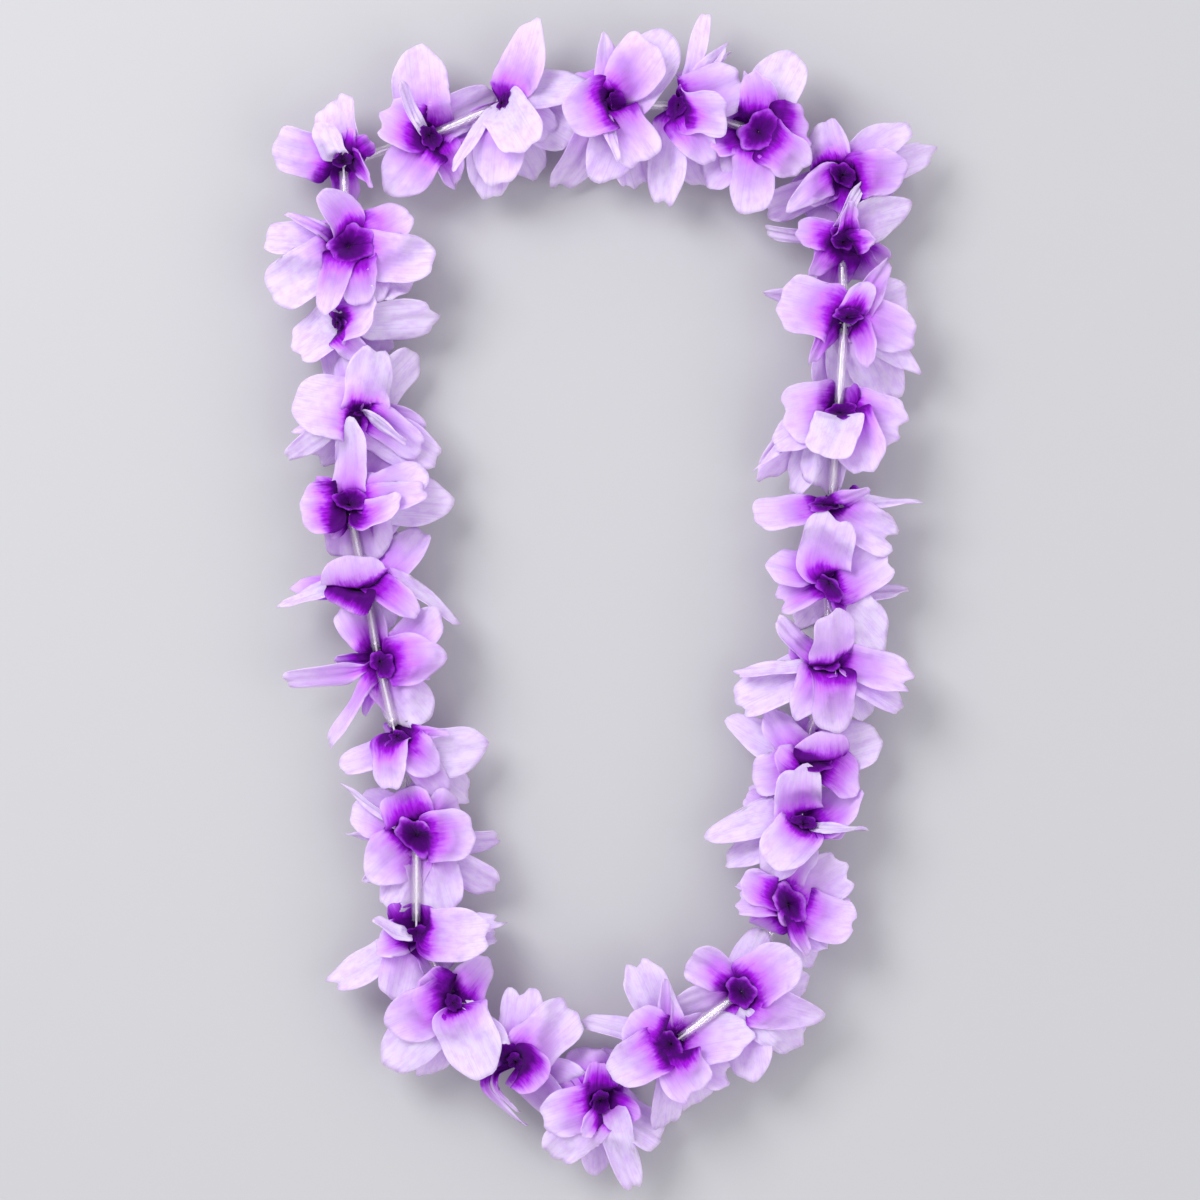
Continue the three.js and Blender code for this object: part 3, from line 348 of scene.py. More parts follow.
petalCup = {  # the cup that the inner ends of the petals make
    "depth": 7.5, "radius": 6.5,
    "rootDepth": 3.2, "rootStep": 1.3,  # where a petal starts, and how much lower the outer layer does
    "layerStep": 1.8,  # how far the outer layer is behind the inner one
    "waistDepth": 0.74, "waistRadius": 0.55, "waistBack": 0.5, "wallRadius": 0.6,
    "flare": 0.25,  # how soon a petal turns from the cup to its tip
    "share": 0.2, "heldTo": 0.14, "heldFade": 0.18,  # shares of the petal's length
    "apart": 0.72, "turns": 80,  # how evenly the roots are turned apart, and in how many rounds
}
petalCut = {  # the flat shape that the fabric is stamped to
    "width": 20, "thickness": 0.28, "rows": 28, "columns": 17,
    "endWaves": (3, 5, 8), "endWobble": 0.018, "sideWaves": (5, 9, 14), "sideWobble": 0.03,
    "notchAt": 0.1, "notchWidth": 0.22, "frills": 7, "narrow": 0.05, "full": 0.55,
    "tips": {  # how far the sides fall short of the tip, how square it is, and how narrow the neck is
        "f": {"drop": 0.14, "square": 2.8, "neck": 0.4, "full": 0.9},
        "r": {"drop": 0.26, "square": 2.1, "neck": 0.75},
        "p": {"drop": 0.38, "square": 1.7, "neck": 0.8},
        "k": {"drop": 0.22, "square": 2.2, "neck": 0.28, "narrow": 0.35, "full": 0.78},
        "s": {"drop": 0.16, "square": 2.8, "neck": 0.75},
        "n": {"drop": 0.2, "square": 2.5, "neck": 0.75, "notch": 0.08},
        "w": {"drop": 0.18, "square": 2.6, "neck": 0.75, "wave": 0.025},
    },
}
petalPress = {  # how the heated press and handling left the fabric. A pair is the range of a random draw
    "turned": 1.25, "folded": 1.8, "foldedBelow": 7,  # how much wider it is than seen from above
    "roundTo": 0.12, "turnOver": 0.4,  # where along it the turn out of the cup starts, and for how long
    "aimedAt": 0.9, "nearlyUp": 0.98,
    "twist": 14, "twistFrom": 0.4, "twistOver": 0.6,
    "cupping": 0.07, "cuppingMore": (-0.004, 0.016),
    "crease": 0.8, "creaseDepth": (0.2, 1.2), "creaseWidth": 0.14,
    "pleats": 0.38, "pleatTurns": (6, 10), "phase": (0, 6),
    "edgeWave": 0.9, "ruffles": (7, 14), "ruffleHeight": (0.3, 1), "edgeNarrow": 2.5, "edgeFrom": 0.25,
    "tipCurl": 0.3, "curl": (-1, 0.8), "curlFrom": 0.6,
    "firstSeed": 4100, "pattern": (0, 40),
}


def phase(chance):  # where a wave starts
    return chance.uniform(*petalPress["phase"])


def ripples(chance, counts, place):
    return sum(chance.uniform(-1, 1) * np.sin(place * k + phase(chance)) for k in counts)


def petalOutline(tip, chance):  # shares of the way to the tip and to the edge, and of half the width
    cut = petalCut
    s = np.linspace(0, 1, cut["rows"])[:, None]
    v = np.sin(np.linspace(-math.pi / 2, math.pi / 2, cut["columns"]))[None, :]
    wobble = ripples(chance, cut["endWaves"], v) * cut["endWobble"]
    wobble = wobble - tip.get("notch", 0) * np.exp(-((v - cut["notchAt"]) / cut["notchWidth"]) ** 2)
    wobble = wobble - tip.get("wave", 0) * np.cos(v * cut["frills"] + phase(chance))
    short = 1 - (1 - np.abs(v) ** tip["square"]) ** (1 / tip["square"])
    ends = 1 - tip["drop"] * short + wobble * (1 - v ** 4)
    sides = ripples(chance, cut["sideWaves"], s) * cut["sideWobble"]
    narrow, full = tip.get("narrow", cut["narrow"]), tip.get("full", cut["full"])
    span = tip["neck"] + (1 - tip["neck"]) * smooth((s - narrow) / (full - narrow))
    span = span * (1 + sides * smooth(s * 2))
    return s * ends, v + 0 * s, v * span


def bezier(a, b, c, d, t):
    t = t[:, None]
    point = a * (1 - t) ** 3 + 3 * b * t * (1 - t) ** 2 + 3 * c * t * t * (1 - t) + d * t ** 3
    speed = 3 * ((b - a) * (1 - t) ** 2 + 2 * (c - b) * t * (1 - t) + (d - c) * t * t)
    return point, unit(speed)


def petalRun(room, petal):  # the four stations of its middle line, from the thread to the tip
    cup, angle = petalCup, petal["angle"]
    back = petal["layer"] * cup["layerStep"]
    root = ringAt(room, angle, 1, cup["rootDepth"] - petal["layer"] * cup["rootStep"])
    waist = ringAt(room, angle, room["cup"] * cup["waistRadius"] + back * cup["waistBack"],
                   cup["depth"] * cup["waistDepth"] - back)
    rim = ringAt(room, angle, room["cup"] + back, cup["depth"] - back)
    tip = room["hub"] + room["eye"] + petal["lean"]
    return root, waist, rim * (1 - cup["flare"]) + tip * cup["flare"], tip


def widthWays(room, petal, last, width):  # which way it spreads in the cup, and at the tip
    around = unit(np.cross(room["mouth"], outAt(room, petal["angle"])))
    level = unit(np.cross(up, last) if abs(last[2]) < petalPress["nearlyUp"] else around)
    level = -level if level @ around < 0 else level
    upright = unit(np.cross(last, level))
    upright = -upright if upright @ around < 0 else upright
    roll = math.acos(min(1, petal["seen"] / width))  # seen narrower than it is, it stands on its edge
    return around, level * math.cos(roll) + upright * math.sin(roll)


def pressedLift(flat, wide, reach, length, chance):  # how far the fabric stands off an even sheet
    press = petalPress
    cupping = press["cupping"] * (1 - flat) ** 2 + chance.uniform(*press["cuppingMore"])
    lift = cupping * reach ** 2
    crease = np.exp(-(wide / press["creaseWidth"]) ** 2)
    lift -= press["crease"] * chance.uniform(*press["creaseDepth"]) * crease * smooth(flat * 2)
    pleats = np.sin(wide * chance.uniform(*press["pleatTurns"]) + phase(chance))
    lift += press["pleats"] * pleats * smooth(flat * 2)
    for edge in (-1, 1):
        ruffle = np.sin(flat * chance.uniform(*press["ruffles"]) + phase(chance))
        ruffle = ruffle * chance.uniform(*press["ruffleHeight"])
        near = np.clip(wide * edge, 0, 1) ** press["edgeNarrow"]
        lift += press["edgeWave"] * ruffle * near * smooth((flat - press["edgeFrom"]) * 2)
    curl = np.clip(flat - press["curlFrom"], 0, 1) ** 2
    return lift + press["tipCurl"] * chance.uniform(*press["curl"]) * length * curl


def cupWall(room, petal, flat, wide):  # where the inner end of a petal lies on the wall of the cup
    cup = petalCup
    root = cup["rootDepth"] - petal["layer"] * cup["rootStep"]
    waist = cup["depth"] * cup["waistDepth"] - petal["layer"] * cup["layerStep"]
    turn = petal["angle"] + np.where(wide < 0, petal["left"], petal["right"]) * np.abs(wide)
    deep = flat / cup["share"]
    radius = 1 + (room["cup"] * cup["wallRadius"] - 1) * deep
    return ringAt(room, turn, radius, root + (waist - root) * deep)


def petalGrid(room, petal, chance):  # its points, and where each is on the cloth, in shares and in mm
    cut, press = petalCut, petalPress
    u, v, half = petalOutline(cut["tips"][petal["kind"]], chance)
    stretch = press["folded"] if petal["seen"] < press["foldedBelow"] else press["turned"]
    width = max(petal["seen"], min(cut["width"], petal["seen"] * stretch))
    sideways = half * width / 2
    flat, wide, reach = u.ravel(), v.ravel(), sideways.ravel()

    stations = petalRun(room, petal)
    spine, tangent = bezier(*stations, flat)
    last = bezier(*stations, np.array([press["aimedAt"]]))[1][0]
    steps = np.diff(bezier(*stations, np.linspace(0, 1, 20))[0], axis=0)
    length = np.linalg.norm(steps, axis=1).sum()
    around, turned = widthWays(room, petal, last, width)
    share = smooth((flat - press["roundTo"]) / press["turnOver"])[:, None]
    side = unit(across(around * (1 - share) + turned * share, tangent))
    inward = np.cross(tangent, side)
    twist = smooth((flat - press["twistFrom"]) / press["twistOver"])[:, None]
    twist = math.radians(chance.uniform(-1, 1) * press["twist"]) * twist
    side, inward = (side * np.cos(twist) + inward * np.sin(twist),
                    inward * np.cos(twist) - side * np.sin(twist))
    lift = pressedLift(flat, wide, reach, length, chance)
    points = spine + side * reach[:, None] + inward * lift[:, None]
    points += petal["leftward"] * (petal["bow"] * 4 * flat * (1 - flat))[:, None]

    held = 1 - smooth((flat - petalCup["heldTo"]) / petalCup["heldFade"])[:, None]
    points = cupWall(room, petal, flat, wide) * held + points * (1 - held)
    return points.reshape(cut["rows"], cut["columns"], 3), u, v, u * length, sideways


def spread(angles):  # turns the roots of one layer apart round the cup
    placed = list(angles)
    share = 2 * math.pi * petalCup["apart"] / len(placed)
    for turn in range(petalCup["turns"]):
        for a in range(len(placed)):
            b = (a + 1) % len(placed)
            lack = share - (placed[b] + (0 if b else 2 * math.pi) - placed[a])
            if lack > 0:
                placed[a] -= lack / 2
                placed[b] += lack / 2
    return placed


def petalsOf(i, room):
    petals = []
    for tipPixel, rise, seen, kind, *more in blooms[i]["petals"]:
        bow, dyeAndShade = more + [0, 1][len(more):]
        east, north = inPlace(tipPixel) - blooms[i]["at"] - eyeOf(i)
        azimuth = round(math.degrees(math.atan2(north, east)))
        reach = halfMm(math.hypot(east, north))
        lean = heading(azimuth, 0) * reach + up * rise
        angle = math.atan2(lean @ room["quarter"], lean @ room["start"])
        petals.append({"lean": lean, "seen": seen, "kind": kind, "angle": angle, "bow": bow,
                       "dyeAndShade": dyeAndShadeOf(dyeAndShade), "leftward": unit(np.cross(up, lean))})
    petals.sort(key=lambda petal: petal["angle"])
    for k, petal in enumerate(petals):
        petal["layer"] = k % 2
    for layer in (0, 1):
        own = [petal for petal in petals if petal["layer"] == layer]
        for petal, angle in zip(own, spread([petal["angle"] for petal in own])):
            petal["angle"] = angle
        for k, petal in enumerate(own):
            ahead = own[(k + 1) % len(own)]["angle"] + (2 * math.pi if k + 1 == len(own) else 0)
            behind = own[k - 1]["angle"] - (0 if k else 2 * math.pi)
            petal["right"] = (ahead - petal["angle"]) / 2
            petal["left"] = (behind - petal["angle"]) / 2
    return petals


def newObject(name, data):
    thing = bpy.data.objects.new(name, data)
    bpy.context.scene.collection.objects.link(thing)
    return thing


class Cloth:  # gathers sheets of fabric into one mesh, with where each point is on its petal
    def __init__(self):
        self.points, self.faces, self.place, self.flat, self.dyeAndShade = [], [], [], [], []
        self.total = 0

    def sheet(self, points, u, v, along, wide, seed, thickness, dyeAndShade=1):
        rows, columns = u.shape
        lengthwise = np.gradient(points, axis=0)
        crosswise = np.gradient(points, axis=1)
        normal = np.cross(lengthwise, crosswise)
        normal /= np.linalg.norm(normal, axis=2, keepdims=True) + 1e-9
        index = np.arange(rows * columns).reshape(rows, columns) + self.total
        size = rows * columns
        for face, sign in ((0, 1), (1, -1)):
            self.points.append((points + normal * sign * thickness / 2).reshape(-1, 3))
            self.place.append(np.stack([u, v, np.full_like(u, face)], axis=-1).reshape(-1, 3))
            self.flat.append(np.stack([along, wide, np.full_like(u, seed)], axis=-1).reshape(-1, 3))
            self.dyeAndShade.append(np.full(size, dyeAndShade))
        a, b, c, d = index[:-1, :-1], index[1:, :-1], index[1:, 1:], index[:-1, 1:]
        front = np.stack([a, b, c, d], axis=-1).reshape(-1, 4)
        self.faces += [front, front[:, ::-1] + size]
        ring = np.concatenate([index[0, :], index[1:, -1], index[-1, -2::-1], index[-2:0:-1, 0]])
        ahead = np.roll(ring, -1)
        self.faces.append(np.stack([ring, ahead, ahead + size, ring + size], axis=-1))
        self.total += 2 * size

    def build(self, name, material):
        mesh = bpy.data.meshes.new(name)
        points = np.concatenate(self.points) * mm
        mesh.from_pydata(points.tolist(), [], np.concatenate(self.faces).tolist())
        for label, values in (("petalPlace", self.place), ("petalCloth", self.flat)):
            data = mesh.attributes.new(label, "FLOAT_VECTOR", "POINT").data
            data.foreach_set("vector", np.concatenate(values).astype(np.float32).ravel())
        data = mesh.attributes.new("petalDye", "FLOAT", "POINT").data
        data.foreach_set("value", np.concatenate(self.dyeAndShade).astype(np.float32))
        mesh.shade_smooth()
        mesh.materials.append(material)
        return newObject(name, mesh)


class Wire:  # a value in a shader, with the operators of arithmetic
    def __init__(self, shader, socket):
        self.shader, self.socket = shader, socket

    def __add__(self, other):
        return self.shader.maths("ADD", self, other)

    def __sub__(self, other):
        return self.shader.maths("SUBTRACT", self, other)

    def __rsub__(self, other):
        return self.shader.maths("SUBTRACT", other, self)

    def __mul__(self, other):
        return self.shader.maths("MULTIPLY", self, other)

    def __truediv__(self, other):
        return self.shader.maths("DIVIDE", self, other)

    def __abs__(self):
        return self.shader.maths("ABSOLUTE", self)

    __radd__ = __add__
    __rmul__ = __mul__


class Shader:
    def __init__(self, name):
        self.material = bpy.data.materials.new(name)
        self.material.use_nodes = True
        self.tree = self.material.node_tree
        self.tree.nodes.clear()

    def node(self, kind, settings, sockets, output=0):  # settings first, then values or links
        made = self.tree.nodes.new(kind)
        for name, value in settings.items():
            if name == "stops":
                while len(made.color_ramp.elements) < len(value):
                    made.color_ramp.elements.new(1)
                for element, (at, color) in zip(made.color_ramp.elements, value):
                    element.position = at
                    element.color = color
            else:
                setattr(made, name, value)
        for name, value in sockets.items():
            if isinstance(value, Wire):
                self.tree.links.new(value.socket, made.inputs[name])
            else:
                made.inputs[name].default_value = value
        return Wire(self, made.outputs[output]) if made.outputs else made

    def maths(self, operation, *values):
        return self.node("ShaderNodeMath", {"operation": operation}, dict(enumerate(values)))

    def clamp(self, value):
        return self.node("ShaderNodeClamp", {}, {"Value": value})

    def step(self, value, low, high):  # 0 below low, 1 above high, smooth between
        return self.node("ShaderNodeMapRange", {"interpolation_type": "SMOOTHSTEP"},
                         {"Value": value, "From Min": low, "From Max": high})

    def mix(self, share, a, b):  # 6, 7 and 2 are this node's sockets for colours
        return self.node("ShaderNodeMix", {"data_type": "RGBA"}, {0: share, 6: a, 7: b}, 2)

    def split(self, name):
        vector = self.node("ShaderNodeAttribute", {"attribute_name": name}, {}, 1)
        return [self.node("ShaderNodeSeparateXYZ", {}, {0: vector}, k) for k in range(3)]

    def inPiece(self):  # where a point is in its own piece
        return self.node("ShaderNodeTexCoord", {}, {}, 3)

    def noise(self, vector, scale, detail=2.0, roughness=0.5):
        return self.node("ShaderNodeTexNoise", {},
                         {"Vector": vector, "Scale": scale, "Detail": detail, "Roughness": roughness})

    def join(self, x, y, z):
        return self.node("ShaderNodeCombineXYZ", {}, {0: x, 1: y, 2: z})

    def bump(self, height, strength, distance):
        return self.node("ShaderNodeBump", {},
                         {"Height": height, "Strength": strength, "Distance": distance})

    def finish(self, surface):
        self.node("ShaderNodeOutputMaterial", {}, {"Surface": surface})
        return self.material


def paint(red, green, blue):  # a colour as seen on screen, 0 to 255
    return tuple(((c / 255 + 0.055) / 1.055) ** 2.4 if c > 10 else c / 255 / 12.92
                 for c in (red, green, blue)) + (1.0,)


petalDye = {  # the dye was dropped in the middle and ran outwards along the threads; the same colours also paint shade on petals whose amount is raised for it
    "reach": 34,  # mm from the middle to where the last of it fades
    "stops": [(0.0, paint(30, 0, 42)), (0.24, paint(82, 0, 118)), (0.35, paint(152, 14, 204)),
              (0.45, paint(204, 116, 240)), (0.58, paint(222, 178, 246)), (0.76, paint(238, 220, 253)),
              (1.0, paint(244, 240, 254))],
    "streak": 5.5, "blotch": 9,  # mm that it runs farther or less far
    "edge": 1.2, "edgeMore": 2.8, "edgeTurns": 9,  # mm at the edges, a little different on each petal
    "paleBelow": 0.2, "least": 0.45, "more": 0.55, "steps": 20,  # what an amount in the table stands for
    "always": 7.5, "alwaysSlope": 2, "alwaysStart": 0.2,  # mm that even a weak dye fills
    "pale": (9, 20),  # mm of the run from where the pale cloth begins to where it is fully pale
    "tip": paint(250, 246, 255), "sideRim": (0.55, 1.05), "tipRim": (0.7, 1.02), "rim": 0.5,
    "back": paint(242, 226, 252), "backShare": 0.45,
    "veins": {"color": paint(160, 90, 215), "range": (0.5, 0.75), "share": 0.26},
    "mottle": {"color": paint(206, 160, 240), "range": (0.42, 0.7), "share": 0.35},
    "through": paint(238, 196, 255), "glow": 0.44,
}
petalGrain = {  # patterns per mm of cloth, and how far the petal's seed shifts and changes them
    "fine": {"wide": 0.9, "along": 0.16, "shift": 3.7, "change": 1, "detail": 4, "roughness": 0.65},
    "broad": {"wide": 0.12, "along": 0.1, "shift": 0, "change": 5.3, "detail": 3, "roughness": 0.5},
    "veins": {"wide": 3, "along": 0.05, "shift": 1, "change": 1, "detail": 2, "roughness": 0.6},
    "mottle": {"wide": 0.45, "along": 0.35, "shift": 1, "change": 1.7, "detail": 3, "roughness": 0.6},
    "wrinkles": {"wide": 0.5, "along": 0.22, "shift": 0, "change": 1, "detail": 3, "roughness": 0.5},
}
petalRelief = {"veins": 0.5, "wrinkles": 0.9, "weave": 0.04, "thread": 0.34, "strength": 0.6,
               "depth": 0.35}


def petalFabric():
    dyeAndShade, relief = petalDye, petalRelief
    cloth = Shader("petal fabric")
    u, v, face = cloth.split("petalPlace")
    along, wide, seed = cloth.split("petalCloth")
    # each petal's dye strength; on petals lying deep in shade it is raised, so part of this darkening is
    # painted shade
    strength = cloth.node("ShaderNodeAttribute", {"attribute_name": "petalDye"}, {}, 2)
    grain = {}
    for name, run in petalGrain.items():
        place = cloth.join(wide * run["wide"] + seed * run["shift"], along * run["along"],
                           seed * run["change"])
        grain[name] = cloth.noise(place, 1.0, run["detail"], run["roughness"])

    edge = v * v * (dyeAndShade["edge"] + cloth.maths("SINE", seed * dyeAndShade["edgeTurns"]) * dyeAndShade["edgeMore"])
    run = along + (grain["fine"] - 0.5) * dyeAndShade["streak"] + (grain["broad"] - 0.5) * dyeAndShade["blotch"] + edge
    always = cloth.clamp(strength * dyeAndShade["alwaysSlope"] - dyeAndShade["alwaysStart"]) * dyeAndShade["always"]
    run = cloth.maths("MINIMUM", run, always) + cloth.maths("MAXIMUM", run - always, 0.0) / strength
    color = cloth.node("ShaderNodeValToRGB", {"stops": dyeAndShade["stops"]}, {0: run / dyeAndShade["reach"]})
    rim = (cloth.step(abs(v), *dyeAndShade["sideRim"]) + cloth.step(u, *dyeAndShade["tipRim"])) * dyeAndShade["rim"]
    pale = cloth.step(run, *dyeAndShade["pale"])
    color = cloth.mix(cloth.clamp(rim * pale), color, dyeAndShade["tip"])
    color = cloth.mix(face * pale * dyeAndShade["backShare"], color, dyeAndShade["back"])
    for name in ("veins", "mottle"):
        share = cloth.step(grain[name], *dyeAndShade[name]["range"]) * pale * dyeAndShade[name]["share"]
        color = cloth.mix(share, color, dyeAndShade[name]["color"])

    turns = 2 * math.pi / relief["thread"]
    weave = cloth.maths("SINE", along * turns) * cloth.maths("SINE", wide * turns)
    folds = grain["veins"] * relief["veins"] + grain["wrinkles"] * relief["wrinkles"]
    normal = cloth.bump(folds + weave * relief["weave"], relief["strength"], relief["depth"] * mm)
    front = cloth.node("ShaderNodeBsdfPrincipled", {}, {
        "Base Color": color, "Roughness": 0.62 + (grain["veins"] - 0.5) * 0.2,
        "Normal": normal, "Sheen Weight": 0.03, "Sheen Roughness": 0.5, "Specular IOR Level": 0.06})
    through = cloth.node("ShaderNodeBsdfTranslucent", {}, {"Color": dyeAndShade["through"]})
    both = cloth.node("ShaderNodeMixShader", {}, {0: pale * dyeAndShade["glow"], 1: front, 2: through})
    return cloth.finish(both)


fabric = petalFabric()
base = {"rows": 8, "columns": 36, "radius": 2.1, "from": -2.2, "to": 3.7, "thickness": 0.3,
        "pleats": 7, "pleatDepth": 0.25, "neck": 0.75, "open": 1.02,
        # where on a petal its colours are taken from
        "u": 0.08, "along": 2.5, "wide": 2, "pattern": 1.3}


def pinchedBase(cloth, room, seed):  # the fabric gathered round the thread under the cup
    turn = np.linspace(0, 2 * math.pi, base["columns"])[None, :] + np.zeros((base["rows"], 1))
    rise = np.linspace(0, 1, base["rows"])[:, None] + np.zeros((1, base["columns"]))
    neck = base["neck"] + (1 - base["neck"]) * smooth(rise * 2)
    radius = base["radius"] * np.sqrt(base["open"] - rise ** 3) * neck
    radius = radius + base["pleatDepth"] * np.sin(turn * base["pleats"]) * (1 - rise)
    points = ringAt(room, -turn, radius, base["from"] + (base["to"] - base["from"]) * rise)
    cloth.sheet(points, rise * base["u"], np.sin(turn), rise * base["along"], turn * base["wide"], seed,
                base["thickness"])


throat = {"rows": 12, "columns": 61, "core": 0.4, "rim": 0.95, "rise": 0.6, "curve": 0.8, "uneven": 0.07,
          "lobes": (2, 3, 5, 7), "pleat": 0.2, "pleats": 13, "height": 8, "clear": 0.1, "thickness": 0.08,
          "dive": 1.4,  # its rim goes this far down into the petals
          # where on a petal its colours are taken from
          "u": 0.6, "v": 0.3, "wide": 3, "outward": 0.8, "upward": 0.75, "less": 1, "fade": 1.2}


def throatGrid(room, chance):  # the inmost ends of the petals, pressed together into one funnel
    root = petalCup["rootDepth"]
    out = np.linspace(0, 1, throat["rows"])[:, None] + np.zeros((1, throat["columns"]))
    turn = np.linspace(0, 2 * math.pi, throat["columns"])[None, :] + np.zeros((throat["rows"], 1))
    lobe = 1 + throat["uneven"] * out * sum(np.sin(turn * k + phase(chance)) for k in throat["lobes"])
    radius = throat["core"] + (room["cup"] * throat["rim"] * lobe - throat["core"]) * out
    depth = root + (petalCup["depth"] + throat["rise"] - root) * out ** throat["curve"]
    depth += throat["pleat"] * np.sin(turn * throat["pleats"] + phase(chance)) * out
    points = ringAt(room, -turn, radius, depth)
    along = radius * throat["outward"] + depth * throat["upward"] - throat["less"]
    along += throat["fade"] * out ** 4
    return points, out * 0 + throat["u"], np.sin(turn) * throat["v"], along, turn * throat["wide"]


stack = {  # how the petals and straws lie over each other
    "cell": 1.3, "margin": 30,  # the squares in which heights are kept, and how far they reach past the lei
    "clear": 0.4, "most": 9, "ease": 10,  # gap, highest lift, and rounds of smoothing
    "table": 0.3,  # nothing lies lower than this
    "heldBelow": 0.14, "freeAbove": 0.42, "countedFrom": 0.1,  # shares of a petal's length
    "strawRadius": 2.1, "rodSide": 1.2, "rodPoints": 40, "freeHeight": 6.5,
    "groove": 1.6, "grooveSlope": 1.6, "grooveDepth": 1.6, "grooveEase": 4,
    "strawOver": (2, 5, 9, 10, 17, 21, 22, 24, 25, 26, 30),  # the straws that press petals down
}
straw = {"radius": 1.85, "wall": 0.22, "sides": 28, "rows": 7, "bareSpan": 14,
         "scuffScale": 900, "scuffDetail": 3, "scuffBump": 0.04, "scuffDepth": 0.2}
strawSpans = [i for i in range(count) if i + 1 != straw["bareSpan"]]


class Pile:  # the top of everything laid down so far, seen from above
    def __init__(self):
        low, high = (np.array(corner) / mm for corner in cadBox)
        self.corner = low[:2] - stack["margin"]
        size = ((high - low)[:2] + 2 * stack["margin"]) / stack["cell"]
        self.top = np.zeros(size.astype(int) + 3)

    def cells(self, points):
        place = ((points[..., :2] - self.corner) / stack["cell"]).astype(int) + 1
        return place[..., 0], place[..., 1]

    def height(self, points):
        return self.top[self.cells(points)]

    def add(self, points):
        x, y = self.cells(points)
        for east in (-1, 0, 1):
            for north in (-1, 0, 1):
                np.maximum.at(self.top, (x + east, y + north), points[..., 2])


def eased(field):  # spreads each rise into a smooth slope round it
    for turn in range(stack["ease"]):
        wide = np.pad(field, 1, mode="edge")
        around = (wide[:-2, 1:-1] + wide[2:, 1:-1] + wide[1:-1, :-2] + wide[1:-1, 2:]) / 4
        field = np.maximum(field, around)
    return field


def tuckUnder(points, rod):  # presses fabric down where a straw lies over it
    start, way = rod["start"], rod["way"]
    along = np.clip((points[..., :2] - start[:2]) @ way[:2] / (way[:2] @ way[:2]), 0, 1)
    beside = np.linalg.norm(points[..., :2] - start[:2] - along[..., None] * way[:2], axis=-1)
    ceiling = start[2] + along * way[2] - stack["strawRadius"]
    ceiling += np.maximum(beside - stack["groove"], 0) * stack["grooveSlope"]
    over = np.maximum(points[..., 2] - ceiling, 0)
    pressed = ceiling - stack["grooveDepth"] * np.exp(-over / stack["grooveEase"])
    points[..., 2] = np.minimum(points[..., 2], pressed)


def layOn(pile, petal):  # lifts a petal over what it lies on, keeping its outline seen from above
    points, u = petal["grid"][0], petal["grid"][1]
    points[..., 2] = np.maximum(points[..., 2], stack["table"])
    free = smooth((u - stack["heldBelow"]) / (stack["freeAbove"] - stack["heldBelow"]))
    lift = np.clip(pile.height(points) + petal["clear"] - points[..., 2], 0, stack["most"]) * free
    points[..., 2] += eased(lift)
    if petal["height"] < hubs[petal["bloom"]][2] + stack["freeHeight"]:
        for rod in rods:
            tuckUnder(points, rod)
    points[-1, :, 2] -= petal["dive"]
    pile.add(points[u[:, 0] > stack["countedFrom"]])


petals, rooms = [], []  # the throats and straws are laid down among the petals, so they are in this list
for i in range(count):
    rooms.append(roomOf(i))
    chance = np.random.default_rng(petalPress["firstSeed"] + i)
    for petal in petalsOf(i, rooms[i]):
        petal["bloom"], petal["seed"] = i, chance.uniform(*petalPress["pattern"])
        petal["grid"] = petalGrid(rooms[i], petal, chance)
        outer = petal["grid"][0][petalCut["rows"] // 2:]
        petal["height"] = np.maximum(outer[..., 2], 0).mean()
        petal["clear"], petal["thickness"], petal["dive"] = stack["clear"], petalCut["thickness"], 0
        petals.append(petal)
    petals.append({"bloom": i, "seed": chance.uniform(*petalPress["pattern"]), "dyeAndShade": 1,
                   "grid": throatGrid(rooms[i], chance), "height": hubs[i][2] + throat["height"],
                   "clear": throat["clear"], "thickness": throat["thickness"], "dive": throat["dive"]})
rods = []  # the straws that press down what lies under them
for i in strawSpans:
    line = lineFrom(i, i + 1)
    length = np.linalg.norm(hubs[(i + 1) % count] - hubs[i])
    t = np.linspace(lay["strawGap"], length - lay["strawGap"], stack["rodPoints"])[:, None, None]
    aside = unit(np.cross(up, line)) * np.linspace(-1, 1, 3)[:, None]
    rod = hubs[i] + line * t + aside * stack["rodSide"]
    rod[..., 2] += stack["strawRadius"]
    petals.append({"rod": rod, "height": rod[..., 2].mean() - stack["strawRadius"]})
    if i + 1 in stack["strawOver"]:
        rods.append({"start": hubs[i] + line * lay["strawGap"],
                     "way": line * (length - 2 * lay["strawGap"])})
pile = Pile()
for petal in sorted(petals, key=lambda petal: petal["height"]):
    if "rod" in petal:
        pile.add(petal["rod"])
    else:
        layOn(pile, petal)
print("lei: the petals lie over each other, highest", round(pile.top.max(), 1), "mm")

for i in range(count):
    cloth = Cloth()
    for petal in petals:
        if petal.get("bloom") == i:
            cloth.sheet(*petal["grid"], petal["seed"], petal["thickness"], petal["dyeAndShade"])
    pinchedBase(cloth, rooms[i], i * base["pattern"])
    name = f"{i + 1:02d}"
    piece = cloth.build("flower_" + name, fabric)
    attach(piece, "root")
    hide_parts("bloom_" + name)
print("lei: thirty blooms of stamped fabric")


def strawPlastic():
    plastic = Shader("clear straw")
    scuff = plastic.noise(plastic.inPiece(), straw["scuffScale"], straw["scuffDetail"])
    normal = plastic.bump(scuff, straw["scuffBump"], straw["scuffDepth"] * mm)
    skin = plastic.node("ShaderNodeBsdfPrincipled", {}, {
        "Base Color": paint(255, 253, 255), "Roughness": 0.03 + scuff * 0.04, "Transmission Weight": 0.93,
        "IOR": 1.04, "Coat Weight": 1.0, "Coat Roughness": 0.12, "Coat IOR": 1.6, "Normal": normal})
    return plastic.finish(skin)


def waysAcross(path, closed):  # two ways square to a path at each of its points
    ahead = np.roll(path, -1, axis=0) - np.roll(path, 1, axis=0) if closed else np.gradient(path, axis=0)
    ahead = unit(ahead)
    side = unit(np.cross(up, ahead))
    return side, np.cross(ahead, side)


